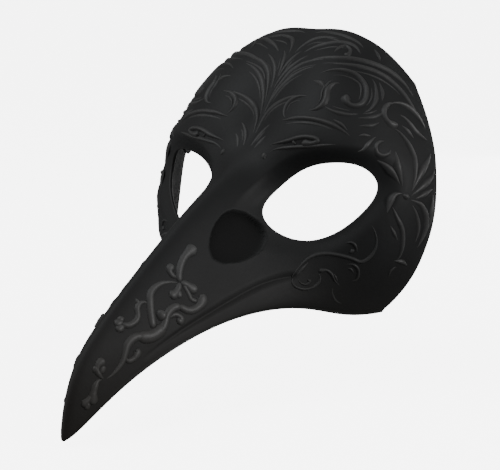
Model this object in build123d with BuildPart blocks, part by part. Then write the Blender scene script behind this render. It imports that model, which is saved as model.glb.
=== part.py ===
"""Plague doctor half mask: a moulded shell with a hooked beak, foam pads and strap anchors inside.

Millimetres. The origin is the nasion point of the mask, where the ridge of the beak leaves the
forehead between the eyes. +X is the wearer's left, +Y points back towards the wearer, +Z is up.
"""
from build123d import *
import os

os.makedirs("parts", exist_ok=True)

# ------------------------------------------------------------ overall sizes
FACE_WIDTH = 172.0  # between the side rims at eye level
FACE_DEPTH = 70.0  # from the nasion back to the side rims
FOREHEAD_HEIGHT = 62.0  # from the nasion up to the top rim
BEAK_REACH = 158.0  # from the nasion forward to the tip of the beak
BEAK_DROP = 124.0  # from the nasion down to the tip of the beak

# ------------------------------------------------------------ moulding
WALL = 2.0
NOSTRIL_LENGTH = 30.0  # blind dimple, along the beak
NOSTRIL_HEIGHT = 22.0  # across the flank of the beak
NOSTRIL_DEPTH = 1.1  # deepest point under the outer face
NOSTRIL_TILT = 38.0  # degrees that its length drops towards the tip
NOSTRIL_U, NOSTRIL_V = 0.684, 0.68  # place on the skin

# ------------------------------------------------------------ eye holes, seen from the front
EYE_CENTRE_X = 46.5  # from the middle of the mask
EYE_CENTRE_Z = -23.5  # from the nasion
EYE_WIDTH = 50.0
EYE_HEIGHT = 38.6
# Outline in halves of the width and the height, from the inner corner over the top.
EYE_OUTLINE = [
    (-0.98, 0.08), (-0.62, 0.71), (0.14, 1.0), (0.74, 0.89),
    (0.98, 0.46), (0.7, -0.34), (-0.1, -1.0), (-0.76, -0.6),
]

# ------------------------------------------------------------ strap anchors, for a 12 mm flat elastic
ANCHOR_HEIGHT = 25.0  # up the side of the head
ANCHOR_LENGTH = 22.0  # towards the rim
ANCHOR_THICKNESS = 2.4
ANCHOR_CORNER = 3.0
ANCHOR_U, ANCHOR_V = 0.952, 0.238  # middle of the plate on the skin, over the temple
SLOT_WIDTH = 15.0
SLOT_GAP = 7.4
SLOT_BAR = 2.8  # bar between the slot and the plate's rim edge
SLOT_CORNER = 1.2
BOSS_DIAMETER = 7.0
BOSS_STAND = 4.4  # boss faces over the skin, so that the elastic passes under the plate
BOSS_SPACING = 14.0
BOSS_TRIM = 14.0  # outside the skin, past the far ends of the bosses
SCREW_EDGE = 5.0  # from the plate's front edge to the screws

# ------------------------------------------------------------ self-tapping screws
SHANK_DIAMETER = 2.2
SHANK_LENGTH = 6.0
SHANK_POINT = 0.8  # length of the cone at the end
POINT_DIAMETER = 0.55  # blunt end of the cone
HEAD_DIAMETER = 4.8
HEAD_HEIGHT = 1.7
CROSS_LENGTH = 2.8
CROSS_WIDTH = 0.7
CROSS_DEPTH = 1.0
PILOT_CLEARANCE = 0.1  # around the shank in the boss
PILOT_END = 0.5  # left free past the screw's end
PLATE_CLEARANCE = 0.3  # around the shank in the plate

# ------------------------------------------------------------ foam pads
PAD_GAP = 0.3  # film of adhesive between a pad and the shell
PAD_CORNER_SHARE = 0.49  # a pad's ends are rounded by this share of its height
# Each pad has its middle on the skin, its size, its turn in degrees and its thickness.
FOREHEAD_PAD = dict(u=0.5, v=0.17, length=104.0, height=19.0, turn=0.0, thickness=6.0)
NOSE_PAD = dict(u=0.617, v=0.51, length=25.0, height=10.0, turn=-62.0, thickness=3.5)
CHEEK_PAD = dict(u=0.83, v=0.83, length=40.0, height=15.0, turn=-4.0, thickness=6.0)

# ------------------------------------------------------------ spans of the skin that inner pieces use
# A span is one step of the skin's spline. Rows count from the top rim down.
ANCHOR_SPANS = 3  # in from a side rim
ANCHOR_ROWS = (2, 6)
FOREHEAD_INSET = 2  # left free at each side rim
FOREHEAD_ROWS = (0, 3)
NOSE_SPANS = 3  # out from the middle of the mask
NOSE_ROWS = (3, 6)
CHEEK_INSET = 2  # left free beside the middle of the mask
CHEEK_ROWS = (5, 8)

# ------------------------------------------------------------ form of the outer skin
# Poles of one cubic spline patch over the wearer's left half, at the nominal sizes below. Each row
# runs from the middle of the mask to the side rim. The rows go from the top rim to the bottom edge,
# which ends in the tip of the beak. The right half mirrors them.
NOMINAL_WIDTH = 172.0
NOMINAL_DEPTH = 70.0
NOMINAL_HEIGHT = 62.0
NOMINAL_REACH = 158.0
NOMINAL_DROP = 124.0
DEGREE = 3
POLES = [
    [(0, 64, 62), (11, 64, 63), (22, 64, 62), (32, 64.5, 58.5), (42, 66.5, 53), (49, 68.5, 46),
     (56, 69, 39.5), (60.5, 69, 34)],
    [(0, 46, 55), (11, 45, 57), (23, 44, 57), (36, 46, 54), (48, 51, 47), (56, 58, 38.5),
     (63, 64, 30), (68, 67, 22)],
    [(0, 27, 39), (11, 24, 41), (24, 21, 42), (39, 22, 40), (54, 30, 33), (66, 42, 23),
     (73, 55, 13), (76.5, 61, 8)],
    [(0, 13, 20), (10, 9, 22), (23, 6, 23), (39, 7, 22), (56, 15, 17), (70, 29, 9),
     (79, 45, 1), (82, 56, -3)],
    [(0, 4, 6), (9, 0, 8), (22, -5, 8), (38, -4, 7), (57, 3, 4), (73, 17, -2),
     (82, 37, -9), (85, 52, -12)],
    [(0, -18, -6), (7, -15, -9), (16, -8, -13), (33, 0, -15), (55, 5, -16), (76, 16, -18),
     (86, 33, -22), (86, 51, -24)],
    [(0, -54, -22), (7, -50, -26), (15, -36, -31), (28, -14, -33), (51, 0, -35), (76, 11, -36),
     (86, 30, -38), (86, 48, -39)],
    [(0, -92, -45), (7, -86, -49), (16, -63, -53), (28, -30, -54), (49, -6, -53), (72, 8, -53),
     (84, 27, -54), (84, 42, -53)],
    [(0, -127, -68), (6, -121, -71), (16, -90, -68), (28, -49, -65), (44, -14, -66), (63, 5, -69),
     (76, 23, -69), (80, 37, -67)],
    [(0, -155, -92), (6, -149, -93), (15, -113, -83), (27, -63, -72), (41, -24, -74), (56, 2, -78),
     (67, 18, -79), (73, 32, -78)],
    [(0, -158, -126), (5, -152, -122.5), (14, -126, -99), (25, -78, -80), (36, -35, -75), (48, -9, -79),
     (58, 10, -87), (66, 29, -85.5)],
]


def scaled(pole, side):
    """A nominal pole at the chosen overall sizes, on the left (1) or the right (-1)."""
    x, y, z = pole
    depth = FACE_DEPTH / NOMINAL_DEPTH if y > 0 else BEAK_REACH / NOMINAL_REACH
    rise = FOREHEAD_HEIGHT / NOMINAL_HEIGHT if z > 0 else BEAK_DROP / NOMINAL_DROP
    return Vector(side * x * FACE_WIDTH / NOMINAL_WIDTH, y * depth, z * rise)


def spline_weights(count, t):
    """Weights of the poles at t, from 0 to 1, on a uniform clamped spline."""
    spans = count - DEGREE
    knots = [0] * DEGREE + list(range(spans + 1)) + [spans] * DEGREE
    place = min(max(t, 0), 1) * spans
    span = min(int(place), spans - 1) + DEGREE
    weights = [0.0] * (count + DEGREE + 1)
    weights[span] = 1.0
    for order in range(1, DEGREE + 1):
        for i in range(span - order, span + 1):
            left = knots[i + order] - knots[i]
            right = knots[i + order + 1] - knots[i + 1]
            rising = (place - knots[i]) / left * weights[i] if left else 0
            falling = (knots[i + order + 1] - place) / right * weights[i + 1] if right else 0
            weights[i] = rising + falling
    return weights[:count]


def point_on(net, u, v):
    """A point of a net's surface: u runs from the right rim to the left, v from the top down."""
    across = spline_weights(len(net[0]), u)
    down = spline_weights(len(net), v)
    total = Vector(0, 0, 0)
    for row_weight, row in zip(down, net):
        for weight, pole in zip(across, row):
            if row_weight * weight:
                total += pole * (row_weight * weight)
    return total


def normal_on(net, u, v, step=0.002):
    """The outward normal of a net's surface."""
    across = point_on(net, min(u + step, 1), v) - point_on(net, max(u - step, 0), v)
    down = point_on(net, u, min(v + step, 1)) - point_on(net, u, max(v - step, 0))
    return across.cross(down).normalized() * -1


def pole_places(count):
    """Where along 0 to 1 each pole of a spline has its greatest effect."""
    spans = count - DEGREE
    knots = [0] * DEGREE + list(range(spans + 1)) + [spans] * DEGREE
    return [sum(knots[i + 1 : i + 1 + DEGREE]) / DEGREE / spans for i in range(count)]


def sunk_net(depth):
    """The net of the surface that lies `depth` under the outer skin."""
    net = []
    for row, v in zip(SKIN, pole_places(len(SKIN))):
        places = pole_places(len(row))
        net.append([pole - normal_on(SKIN, u, v) * depth for pole, u in zip(row, places)])
    return net


def bezier_poles(poles):
    """Poles of the Bezier pieces, end to end, of a uniform clamped spline."""
    spans = len(poles) - DEGREE
    knots = [0] * (DEGREE + 1) + list(range(1, spans)) + [spans] * (DEGREE + 1)
    for knot in range(1, spans):
        for _ in range(DEGREE - 1):
            last = max(i for i, value in enumerate(knots) if value <= knot)
            moved = list(poles[: last - DEGREE + 1])
            for i in range(last - DEGREE + 1, last + 1):
                span = knots[i + DEGREE] - knots[i]
                share = (knot - knots[i]) / span if span else 0
                moved.append(poles[i - 1] * (1 - share) + poles[i] * share)
            poles = moved + list(poles[last:])
            knots.insert(last + 1, knot)
    return poles


def bezier_grid(net):
    """Poles of all the Bezier patches of a net, as rows from the top down."""
    rows = [bezier_poles(row) for row in net]
    columns = [bezier_poles(list(column)) for column in zip(*rows)]
    return [list(row) for row in zip(*columns)]


def skin_slab(outer_depth, inner_depth, u_spans, v_spans):
    """The solid between two depths under the outer skin, over a range of the skin's spans."""
    columns = range(DEGREE * u_spans[0], DEGREE * u_spans[1], DEGREE)
    rows = range(DEGREE * v_spans[0], DEGREE * v_spans[1], DEGREE)
    outer = bezier_grid(sunk_net(outer_depth))
    inner = bezier_grid(sunk_net(inner_depth))
    reach = range(DEGREE + 1)
    faces = []
    for grid in (outer, inner):
        for row in rows:
            for column in columns:
                patch = [[grid[row + j][column + i] for i in reach] for j in reach]
                faces.append(Face.make_bezier_surface(patch))
    for row in (rows[0], rows[-1] + DEGREE):
        for column in columns:
            edges = [[grid[row][column + i] for i in reach] for grid in (outer, inner)]
            faces.append(Face.make_bezier_surface(edges))
    for column in (columns[0], columns[-1] + DEGREE):
        for row in rows:
            edges = [[grid[row + j][column] for j in reach] for grid in (outer, inner)]
            faces.append(Face.make_bezier_surface(edges))
    return Solid(Shell(faces))


def skin_plane(u, v, depth, side=1, step=0.01):
    """A plane under the skin that faces the wearer, with its X axis towards the rim of that side."""
    place = 0.5 + side * (u - 0.5)
    normal = normal_on(SKIN, place, v)
    towards_rim = point_on(SKIN, place + side * step, v) - point_on(SKIN, place, v)
    return Plane(point_on(SKIN, place, v) - normal * depth, x_dir=towards_rim, z_dir=normal * -1)


def pad(size, u_spans, v_spans, side=1):
    """A foam pad that follows the inside of the shell, with round ends."""
    depth = WALL + PAD_GAP
    slab = skin_slab(depth, depth + size["thickness"], u_spans, v_spans)
    plane = skin_plane(size["u"], size["v"], depth, side)
    with BuildPart() as body:
        add(slab)
        with BuildSketch(plane):
            with Locations(Rotation(0, 0, side * size["turn"])):
                RectangleRounded(size["length"], size["height"], size["height"] * PAD_CORNER_SHARE)
        extrude(amount=size["length"], both=True, mode=Mode.INTERSECT)
    return body.part


RIGHT = [[scaled(pole, -1) for pole in reversed(row[1:])] for row in POLES]
LEFT = [[scaled(pole, 1) for pole in row] for row in POLES]
SKIN = [right + left for right, left in zip(RIGHT, LEFT)]
SPANS_ACROSS = len(SKIN[0]) - DEGREE
SPANS_DOWN = len(SKIN) - DEGREE
SIDES = {"left": 1, "right": -1}

boss_x = -ANCHOR_LENGTH / 2 + SCREW_EDGE
boss_places = [(boss_x, -BOSS_SPACING / 2), (boss_x, BOSS_SPACING / 2)]
pilot_depth = SHANK_LENGTH - ANCHOR_THICKNESS + PILOT_END
anchor_planes = {name: skin_plane(ANCHOR_U, ANCHOR_V, WALL, side) for name, side in SIDES.items()}

# ------------------------------------------------------------ bosses, rooted halfway into the wall
with BuildPart() as bosses:
    for plane in anchor_planes.values():
        with BuildSketch(plane.offset(-BOSS_DIAMETER)):
            with Locations(*boss_places):
                Circle(BOSS_DIAMETER / 2)
        extrude(amount=BOSS_DIAMETER + BOSS_STAND)
    for spans in ((0, ANCHOR_SPANS), (SPANS_ACROSS - ANCHOR_SPANS, SPANS_ACROSS)):
        add(skin_slab(-BOSS_TRIM, WALL / 2, spans, ANCHOR_ROWS), mode=Mode.SUBTRACT)

# ------------------------------------------------------------ shell
with BuildPart() as mask_shell:
    add(skin_slab(0, WALL, (0, SPANS_ACROSS), (0, SPANS_DOWN)))
    # The eye holes run straight back.
    with BuildSketch(Plane.XZ):
        for side in SIDES.values():
            with BuildLine():
                Spline(
                    *[
                        (side * (EYE_CENTRE_X + x * EYE_WIDTH / 2), EYE_CENTRE_Z + z * EYE_HEIGHT / 2)
                        for x, z in EYE_OUTLINE
                    ],
                    periodic=True,
                )
            make_face()
    extrude(amount=BEAK_REACH, both=True, mode=Mode.SUBTRACT)
    # Each nostril is the shallow print of a lens.
    for side in SIDES.values():
        plane = skin_plane(NOSTRIL_U, NOSTRIL_V, 0, side)
        radii = (NOSTRIL_LENGTH / 2, NOSTRIL_HEIGHT / 2, NOSTRIL_DEPTH)
        lens = scale(Sphere(1, mode=Mode.PRIVATE), radii, mode=Mode.PRIVATE)
        lens = plane * Rotation(0, 0, side * NOSTRIL_TILT) * lens
        add(lens, mode=Mode.SUBTRACT)
    # Two blind bosses stand at each temple.
    add(bosses.part)
    for plane in anchor_planes.values():
        with BuildSketch(plane.offset(BOSS_STAND)):
            with Locations(*boss_places):
                Circle(SHANK_DIAMETER / 2 + PILOT_CLEARANCE)
        extrude(amount=-pilot_depth, mode=Mode.SUBTRACT)
mask_shell.part.label = "mask_shell"
export_step(mask_shell.part, "parts/mask_shell.step")

# ------------------------------------------------------------ strap anchors
for name, plane in anchor_planes.items():
    with BuildPart() as anchor:
        with BuildSketch(plane.offset(BOSS_STAND)):
            RectangleRounded(ANCHOR_LENGTH, ANCHOR_HEIGHT, ANCHOR_CORNER)
            with Locations(*boss_places):
                Circle(SHANK_DIAMETER / 2 + PLATE_CLEARANCE, mode=Mode.SUBTRACT)
            with Locations((ANCHOR_LENGTH / 2 - SLOT_BAR - SLOT_GAP / 2, 0)):
                RectangleRounded(SLOT_GAP, SLOT_WIDTH, SLOT_CORNER, mode=Mode.SUBTRACT)
        extrude(amount=ANCHOR_THICKNESS)
    anchor.part.label = f"strap_anchor_{name}"
    export_step(anchor.part, f"parts/strap_anchor_{name}.step")

# ------------------------------------------------------------ screws
with BuildPart() as anchor_screws:
    for plane in anchor_planes.values():
        seat = plane.offset(BOSS_STAND + ANCHOR_THICKNESS)
        with Locations(*[seat * Location(place) for place in boss_places]):
            with Locations((0, 0, -SHANK_LENGTH / 2 + SHANK_POINT / 2)):
                Cylinder(SHANK_DIAMETER / 2, SHANK_LENGTH - SHANK_POINT)
            with Locations((0, 0, SHANK_POINT / 2 - SHANK_LENGTH)):
                Cone(POINT_DIAMETER / 2, SHANK_DIAMETER / 2, SHANK_POINT)
            with Locations((0, 0, HEAD_HEIGHT / 2)):
                Cylinder(HEAD_DIAMETER / 2, HEAD_HEIGHT)
            with Locations((0, 0, HEAD_HEIGHT - CROSS_DEPTH / 2)):
                Box(CROSS_LENGTH, CROSS_WIDTH, CROSS_DEPTH, mode=Mode.SUBTRACT)
                Box(CROSS_WIDTH, CROSS_LENGTH, CROSS_DEPTH, mode=Mode.SUBTRACT)
anchor_screws.part.label = "anchor_screws"
export_step(anchor_screws.part, "parts/anchor_screws.step")

# ------------------------------------------------------------ pads
forehead_pad = pad(FOREHEAD_PAD, (FOREHEAD_INSET, SPANS_ACROSS - FOREHEAD_INSET), FOREHEAD_ROWS)
forehead_pad.label = "forehead_pad"
export_step(forehead_pad, "parts/forehead_pad.step")

middle = SPANS_ACROSS // 2
for name, side in SIDES.items():
    nose_spans = (middle, middle + NOSE_SPANS) if side > 0 else (middle - NOSE_SPANS, middle)
    cheek_spans = (middle + CHEEK_INSET, SPANS_ACROSS) if side > 0 else (0, middle - CHEEK_INSET)
    nose_pad = pad(NOSE_PAD, nose_spans, NOSE_ROWS, side)
    nose_pad.label = f"nose_pad_{name}"
    export_step(nose_pad, f"parts/nose_pad_{name}.step")
    cheek_pad = pad(CHEEK_PAD, cheek_spans, CHEEK_ROWS, side)
    cheek_pad.label = f"cheek_pad_{name}"
    export_step(cheek_pad, f"parts/cheek_pad_{name}.step")
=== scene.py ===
"""Looks of a plague doctor half mask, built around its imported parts.

The moulding is a spline patch with sunk sockets, nostril dimples, a rolled lip and a crease along the
beak. Raised scrollwork lies on it. Foam pads, strap anchors and screws sit inside. All sizes here are
in metres, and the wearer's left is +X.
"""
import logging
import math
from dataclasses import dataclass, field, replace
from enum import Enum

import bmesh
import bpy
import numpy as np
from mathutils import Matrix, Vector


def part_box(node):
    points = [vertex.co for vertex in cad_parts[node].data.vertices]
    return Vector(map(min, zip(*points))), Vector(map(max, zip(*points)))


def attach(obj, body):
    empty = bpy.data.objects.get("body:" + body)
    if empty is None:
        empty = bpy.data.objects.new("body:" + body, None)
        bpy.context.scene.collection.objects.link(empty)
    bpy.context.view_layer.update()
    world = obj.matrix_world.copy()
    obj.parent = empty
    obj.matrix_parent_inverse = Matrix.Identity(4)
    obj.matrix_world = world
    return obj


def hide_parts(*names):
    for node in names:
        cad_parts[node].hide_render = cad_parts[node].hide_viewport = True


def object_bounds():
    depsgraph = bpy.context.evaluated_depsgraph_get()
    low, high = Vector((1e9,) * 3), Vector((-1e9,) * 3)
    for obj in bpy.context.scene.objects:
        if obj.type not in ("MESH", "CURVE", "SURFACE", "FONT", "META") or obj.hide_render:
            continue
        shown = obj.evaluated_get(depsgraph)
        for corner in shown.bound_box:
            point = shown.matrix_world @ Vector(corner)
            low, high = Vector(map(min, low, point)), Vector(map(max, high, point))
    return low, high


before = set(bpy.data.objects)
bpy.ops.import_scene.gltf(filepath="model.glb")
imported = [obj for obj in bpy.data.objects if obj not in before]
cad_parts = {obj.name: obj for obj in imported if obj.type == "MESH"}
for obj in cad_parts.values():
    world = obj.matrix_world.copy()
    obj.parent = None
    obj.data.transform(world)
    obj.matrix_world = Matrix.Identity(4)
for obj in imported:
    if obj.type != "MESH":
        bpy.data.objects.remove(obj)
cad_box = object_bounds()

log = logging.getLogger("mask")
MM = 0.001
MERGE = 0.001 * MM
ROOT = "root"
PATH = list[tuple[float, float]]


# ------------------------------------------------------------------ node trees
class NodeMaker:
    """Short calls that add nodes to a tree."""

    prefix = ""

    def __init__(self, tree: bpy.types.NodeTree) -> None:
        """Keep the tree that the nodes go into.

        Args:
            tree: The tree.
        """
        self.tree = tree

    def node(self, kind: str, settings: dict | None = None, **inputs: object) -> bpy.types.Node:
        """Add a node.

        Args:
            kind: The node's type, without the class's prefix.
            settings: Values of the node's own properties.
            **inputs: Values or sockets for its inputs, with spaces written as underscores.

        Returns:
            The new node.
        """
        node = self.tree.nodes.new(self.prefix + kind)
        for key, value in (settings or {}).items():
            setattr(node, key, value)
        for key, value in inputs.items():
            self.put(node.inputs[key.replace("_", " ")], value)
        return node

    def put(self, socket: bpy.types.NodeSocket, value: object) -> None:
        """Link a socket to another one, or set its value.

        Args:
            socket: The input to fill.
            value: A socket to link or a value to set.
        """
        if isinstance(value, bpy.types.NodeSocket):
            self.tree.links.new(value, socket)
        else:
            socket.default_value = value

    def math(self, operation: str, *values: object) -> object:
        """Add a maths node.

        Args:
            operation: What it does.
            *values: Values or sockets for its inputs, in order.

        Returns:
            The socket of its result.
        """
        node = self.tree.nodes.new("ShaderNodeMath")
        node.operation = operation
        for socket, value in zip(node.inputs, values):
            self.put(socket, value)
        return node.outputs["Value"]


# ------------------------------------------------------------------ materials
class Shader(NodeMaker):
    """A node material with short calls for the nodes it needs."""

    prefix = "ShaderNode"

    def __init__(self, name: str) -> None:
        """Start a material that holds only its shader and output.

        Args:
            name: The material's name.
        """
        self.material = bpy.data.materials.new(name)
        self.material.use_nodes = True
        super().__init__(self.material.node_tree)
        self.bsdf = self.tree.nodes["Principled BSDF"]

    def noise(self, where: object, scale: float, detail: float = 4.0, roughness: float = 0.5) -> object:
        """The factor of a noise texture, as a socket."""
        look = {"Scale": scale, "Detail": detail, "Roughness": roughness}
        return self.node("TexNoise", None, Vector=where, **look).outputs["Fac"]

    def ramp(self, value: object, stops: list[tuple[float, tuple]]) -> object:
        """A colour ramp over a value.

        Args:
            value: The socket that drives the ramp.
            stops: Positions with their colours.

        Returns:
            The colour socket.
        """
        node = self.node("ValToRGB", None, Fac=value)
        elements = node.color_ramp.elements
        while len(elements) < len(stops):
            elements.new(1.0)
        for element, (place, colour) in zip(elements, stops):
            element.position = place
            element.color = colour if len(colour) == 4 else (*colour, 1.0)
        return node.outputs["Color"]

    def mix(self, factor: object, low: object, high: object) -> object:
        """Mix two colours.

        Args:
            factor: How much of the second one there is.
            low: The first colour.
            high: The second colour.

        Returns:
            The colour socket.
        """
        node = self.node("Mix", {"data_type": "RGBA"})
        self.put(node.inputs[0], factor)
        self.put(node.inputs[6], low)
        self.put(node.inputs[7], high)
        return node.outputs[2]

    def bump(self, height: object, distance: float, strength: float = 1.0, normal: object = None) -> object:
        """Bump the surface.

        Args:
            height: The socket of the height, from 0 to 1.
            distance: What a height of 1 stands for, in metres.
            strength: How much of it shows.
            normal: The socket of a normal that is bumped already.

        Returns:
            The normal socket.
        """
        node = self.node("Bump", None, Height=height, Distance=distance, Strength=strength)
        if normal is not None:
            self.put(node.inputs["Normal"], normal)
        return node.outputs["Normal"]

    def where(self) -> object:
        """The object's coordinates, as a socket."""
        return self.node("TexCoord").outputs["Object"]


def grey(value: float, warm: float = 0.0) -> tuple[float, float, float, float]:
    """A near neutral colour.

    Args:
        value: Its lightness, linear.
        warm: Above zero for browner, below for cooler.

    Returns:
        The colour with full alpha.
    """
    return (value * (1 + warm), value, value * (1 - warm), 1.0)


@dataclass(frozen=True)
class MouldedPlastic:
    """Matte black plastic, lighter and smoother on raised crests and edges: the lighter colour there is
    rubbed wear plus a painted highlight.
    """

    name: str
    base: float = 0.0105
    # Colour of crests and edges: rubbed wear plus a painted highlight.
    wear_and_highlight_tone: float = 0.065
    roughness: float = 0.6
    specular: float = 0.27
    warm_end: bool = True
    warm_from: float = -50 * MM
    warm_to: float = -125 * MM
    cloud_scale: float = 38.0
    fleck_scale: float = 900.0
    dimple_scale: float = 260.0
    dimple_depth: float = 0.22 * MM
    grain_scale: float = 2600.0
    grain_depth: float = 0.06 * MM
    worn_gloss: float = 0.24
    hollow_matte: float = 0.2

    def make(self) -> bpy.types.Material:
        """Build the node material.

        Returns:
            The material.
        """
        s = Shader(self.name)
        where = s.where()
        cloud = s.noise(where, self.cloud_scale, 3.0)
        fleck = s.noise(where, self.fleck_scale, 2.0)
        grain = s.noise(where, self.grain_scale, 2.0, 0.6)
        raised = s.node("Attribute", {"attribute_name": "raised"}).outputs["Fac"]
        cool = s.ramp(cloud, [(0.3, grey(self.base * 0.82, -0.03)), (0.72, grey(self.base * 1.2, -0.02))])
        # Painted highlight: crests marked by raised are mixed toward a lighter grey, partly rubbed wear and
        # partly painted highlight on the ridges.
        wear_and_highlight = s.math("MULTIPLY", raised, s.math("ADD", s.math("MULTIPLY", fleck, 0.5), 0.55))
        wear_and_highlight = s.math("MINIMUM", wear_and_highlight, 1.0)
        colour = s.mix(wear_and_highlight, cool, grey(self.wear_and_highlight_tone, 0.01))
        # Painted shade: the nostril dimple is painted darker and made more matte, as shade in the recess.
        hollow = s.node("Attribute", {"attribute_name": "hollow"}).outputs["Fac"]
        colour = s.mix(hollow, colour, grey(self.base * 0.5))
        if self.warm_end:
            apart = s.node("SeparateXYZ", None, Vector=where)
            low = s.node("MapRange", None, Value=apart.outputs["Z"])
            ends = {"From Min": self.warm_from, "From Max": self.warm_to, "To Min": 0.0, "To Max": 0.7}
            for key, value in ends.items():
                low.inputs[key].default_value = value
            colour = s.mix(low.outputs["Result"], colour, grey(self.base * 1.5, 0.2))
        s.put(s.bsdf.inputs["Base Color"], colour)
        rough = s.math("ADD", s.math("MULTIPLY", cloud, 0.12), self.roughness - 0.06)
        rough = s.math("SUBTRACT", rough, s.math("MULTIPLY", wear_and_highlight, self.worn_gloss))
        rough = s.math("ADD", rough, s.math("MULTIPLY", hollow, self.hollow_matte))
        s.put(s.bsdf.inputs["Roughness"], rough)
        s.bsdf.inputs["IOR"].default_value = 1.5
        s.bsdf.inputs["Specular IOR Level"].default_value = self.specular
        dimple = s.bump(s.noise(where, self.dimple_scale, 3.0), self.dimple_depth, 0.5)
        s.put(s.bsdf.inputs["Normal"], s.bump(grain, self.grain_depth, 0.6, dimple))
        return s.material


@dataclass(frozen=True)
class FoamFabric:
    """Knitted fabric over soft foam."""

    name: str = "pad_fabric"
    colour: float = 0.035
    knit_scale: float = 420.0
    row_scale: float = 300.0
    knit_depth: float = 0.3 * MM
    lump_depth: float = 0.8 * MM

    def make(self) -> bpy.types.Material:
        """Build the node material.

        Returns:
            The material.
        """
        s = Shader(self.name)
        where = s.where()
        waves = []
        for way, scale, wander in (("DIAGONAL", self.knit_scale, 1.5), ("X", self.row_scale, 0.6)):
            settings = {"wave_type": "BANDS", "bands_direction": way}
            wave = s.node("TexWave", settings, Vector=where, Scale=scale, Distortion=wander)
            waves.append(wave.outputs["Fac"])
        weave = s.math("MULTIPLY", *waves)
        tone = s.ramp(weave, [(0.05, grey(self.colour * 0.5, 0.02)), (0.6, grey(self.colour * 1.5, 0.02))])
        s.put(s.bsdf.inputs["Base Color"], tone)
        s.bsdf.inputs["Roughness"].default_value = 0.92
        s.bsdf.inputs["Sheen Weight"].default_value = 0.35
        s.bsdf.inputs["Sheen Roughness"].default_value = 0.5
        lumps = s.bump(s.noise(where, 120.0), self.lump_depth, 0.4)
        s.put(s.bsdf.inputs["Normal"], s.bump(weave, self.knit_depth, 0.8, lumps))
        return s.material


@dataclass(frozen=True)
class ZincSteel:
    """Zinc plated screw steel with turning marks."""

    name: str = "screw_zinc"
    mark_depth: float = 0.03 * MM

    def make(self) -> bpy.types.Material:
        """Build the node material.

        Returns:
            The material.
        """
        s = Shader(self.name)
        where = s.where()
        blot = s.noise(where, 700.0, 3.0)
        tone = s.ramp(blot, [(0.3, (0.42, 0.43, 0.45)), (0.75, (0.62, 0.62, 0.6))])
        s.put(s.bsdf.inputs["Base Color"], tone)
        s.bsdf.inputs["Metallic"].default_value = 1.0
        s.put(s.bsdf.inputs["Roughness"], s.math("ADD", s.math("MULTIPLY", blot, 0.2), 0.24))
        s.put(s.bsdf.inputs["Normal"], s.bump(s.noise(where, 3000.0), self.mark_depth, 0.5))
        return s.material


@dataclass(frozen=True)
class StudioPaper:
    """A plain pale floor."""

    name: str = "studio_paper"
    glow: float = 6.0

    def make(self) -> bpy.types.Material:
        """Build the node material: bright where it is seen, dim where it would light the mask.

        Returns:
            The material.
        """
        s = Shader(self.name)
        tone = s.noise(s.where(), 6.0, 2.0)
        seen = s.node("LightPath").outputs["Is Camera Ray"]
        paper = s.ramp(tone, [(0.0, grey(0.86)), (1.0, grey(0.9))])
        s.put(s.bsdf.inputs["Base Color"], s.mix(seen, grey(0.3), paper))
        s.bsdf.inputs["Roughness"].default_value = 0.9
        s.bsdf.inputs["Emission Color"].default_value = (1.0, 1.0, 1.0, 1.0)
        s.put(s.bsdf.inputs["Emission Strength"], s.math("MULTIPLY", seen, self.glow))
        return s.material


# ------------------------------------------------------------------ meshes
def add_object(
    name: str, mesh: bpy.types.Mesh, material: bpy.types.Material | None = None
) -> bpy.types.Object:
    """Link a mesh to the scene as an object.

    Args:
        name: The object's name.
        mesh: Its mesh.
        material: What it is made of, if the mesh doesn't say so.

    Returns:
        The new object.
    """
    made = bpy.data.objects.new(name, mesh)
    bpy.context.scene.collection.objects.link(made)
    if material is not None:
        made.data.materials.clear()
        made.data.materials.append(material)
    return made


def mesh_from(name: str, points: np.ndarray, faces: list) -> bpy.types.Mesh:
    """A smooth mesh from points and faces.

    Args:
        name: The mesh's name.
        points: Its points.
        faces: Its faces, as the numbers of their points.

    Returns:
        The new mesh.
    """
    mesh = bpy.data.meshes.new(name)
    mesh.from_pydata(points.tolist(), [], faces)
    mesh.polygons.foreach_set("use_smooth", [True] * len(mesh.polygons))
    mesh.update()
    return mesh


def outward(mesh: bpy.types.Mesh) -> None:
    """Turn the faces of a closed mesh outwards.

    Args:
        mesh: The mesh.
    """
    work = bmesh.new()
    work.from_mesh(mesh)
    bmesh.ops.recalc_face_normals(work, faces=work.faces)
    work.to_mesh(mesh)
    work.free()


def evaluated(source: bpy.types.Object) -> bpy.types.Mesh:
    """A plain mesh of what an object's modifiers make of it."""
    return bpy.data.meshes.new_from_object(source.evaluated_get(bpy.context.evaluated_depsgraph_get()))


def merged(node: str, name: str) -> bpy.types.Mesh:
    """A copy of a CAD node's mesh with its doubles merged.

    Args:
        node: The node's name.
        name: The copy's name.

    Returns:
        The copy.
    """
    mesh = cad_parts[node].data.copy()
    mesh.name = name
    work = bmesh.new()
    work.from_mesh(mesh)
    bmesh.ops.remove_doubles(work, verts=work.verts, dist=MERGE)
    work.to_mesh(mesh)
    work.free()
    return mesh


def unit(ways: np.ndarray) -> np.ndarray:
    """Ways at a length of 1."""
    return ways / np.linalg.norm(ways, axis=1, keepdims=True)


def smooth_step(t: np.ndarray) -> np.ndarray:
    """Smooth step from 0 to 1 over 0 to 1."""
    t = np.clip(t, 0.0, 1.0)
    return t * t * (3 - 2 * t)


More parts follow.
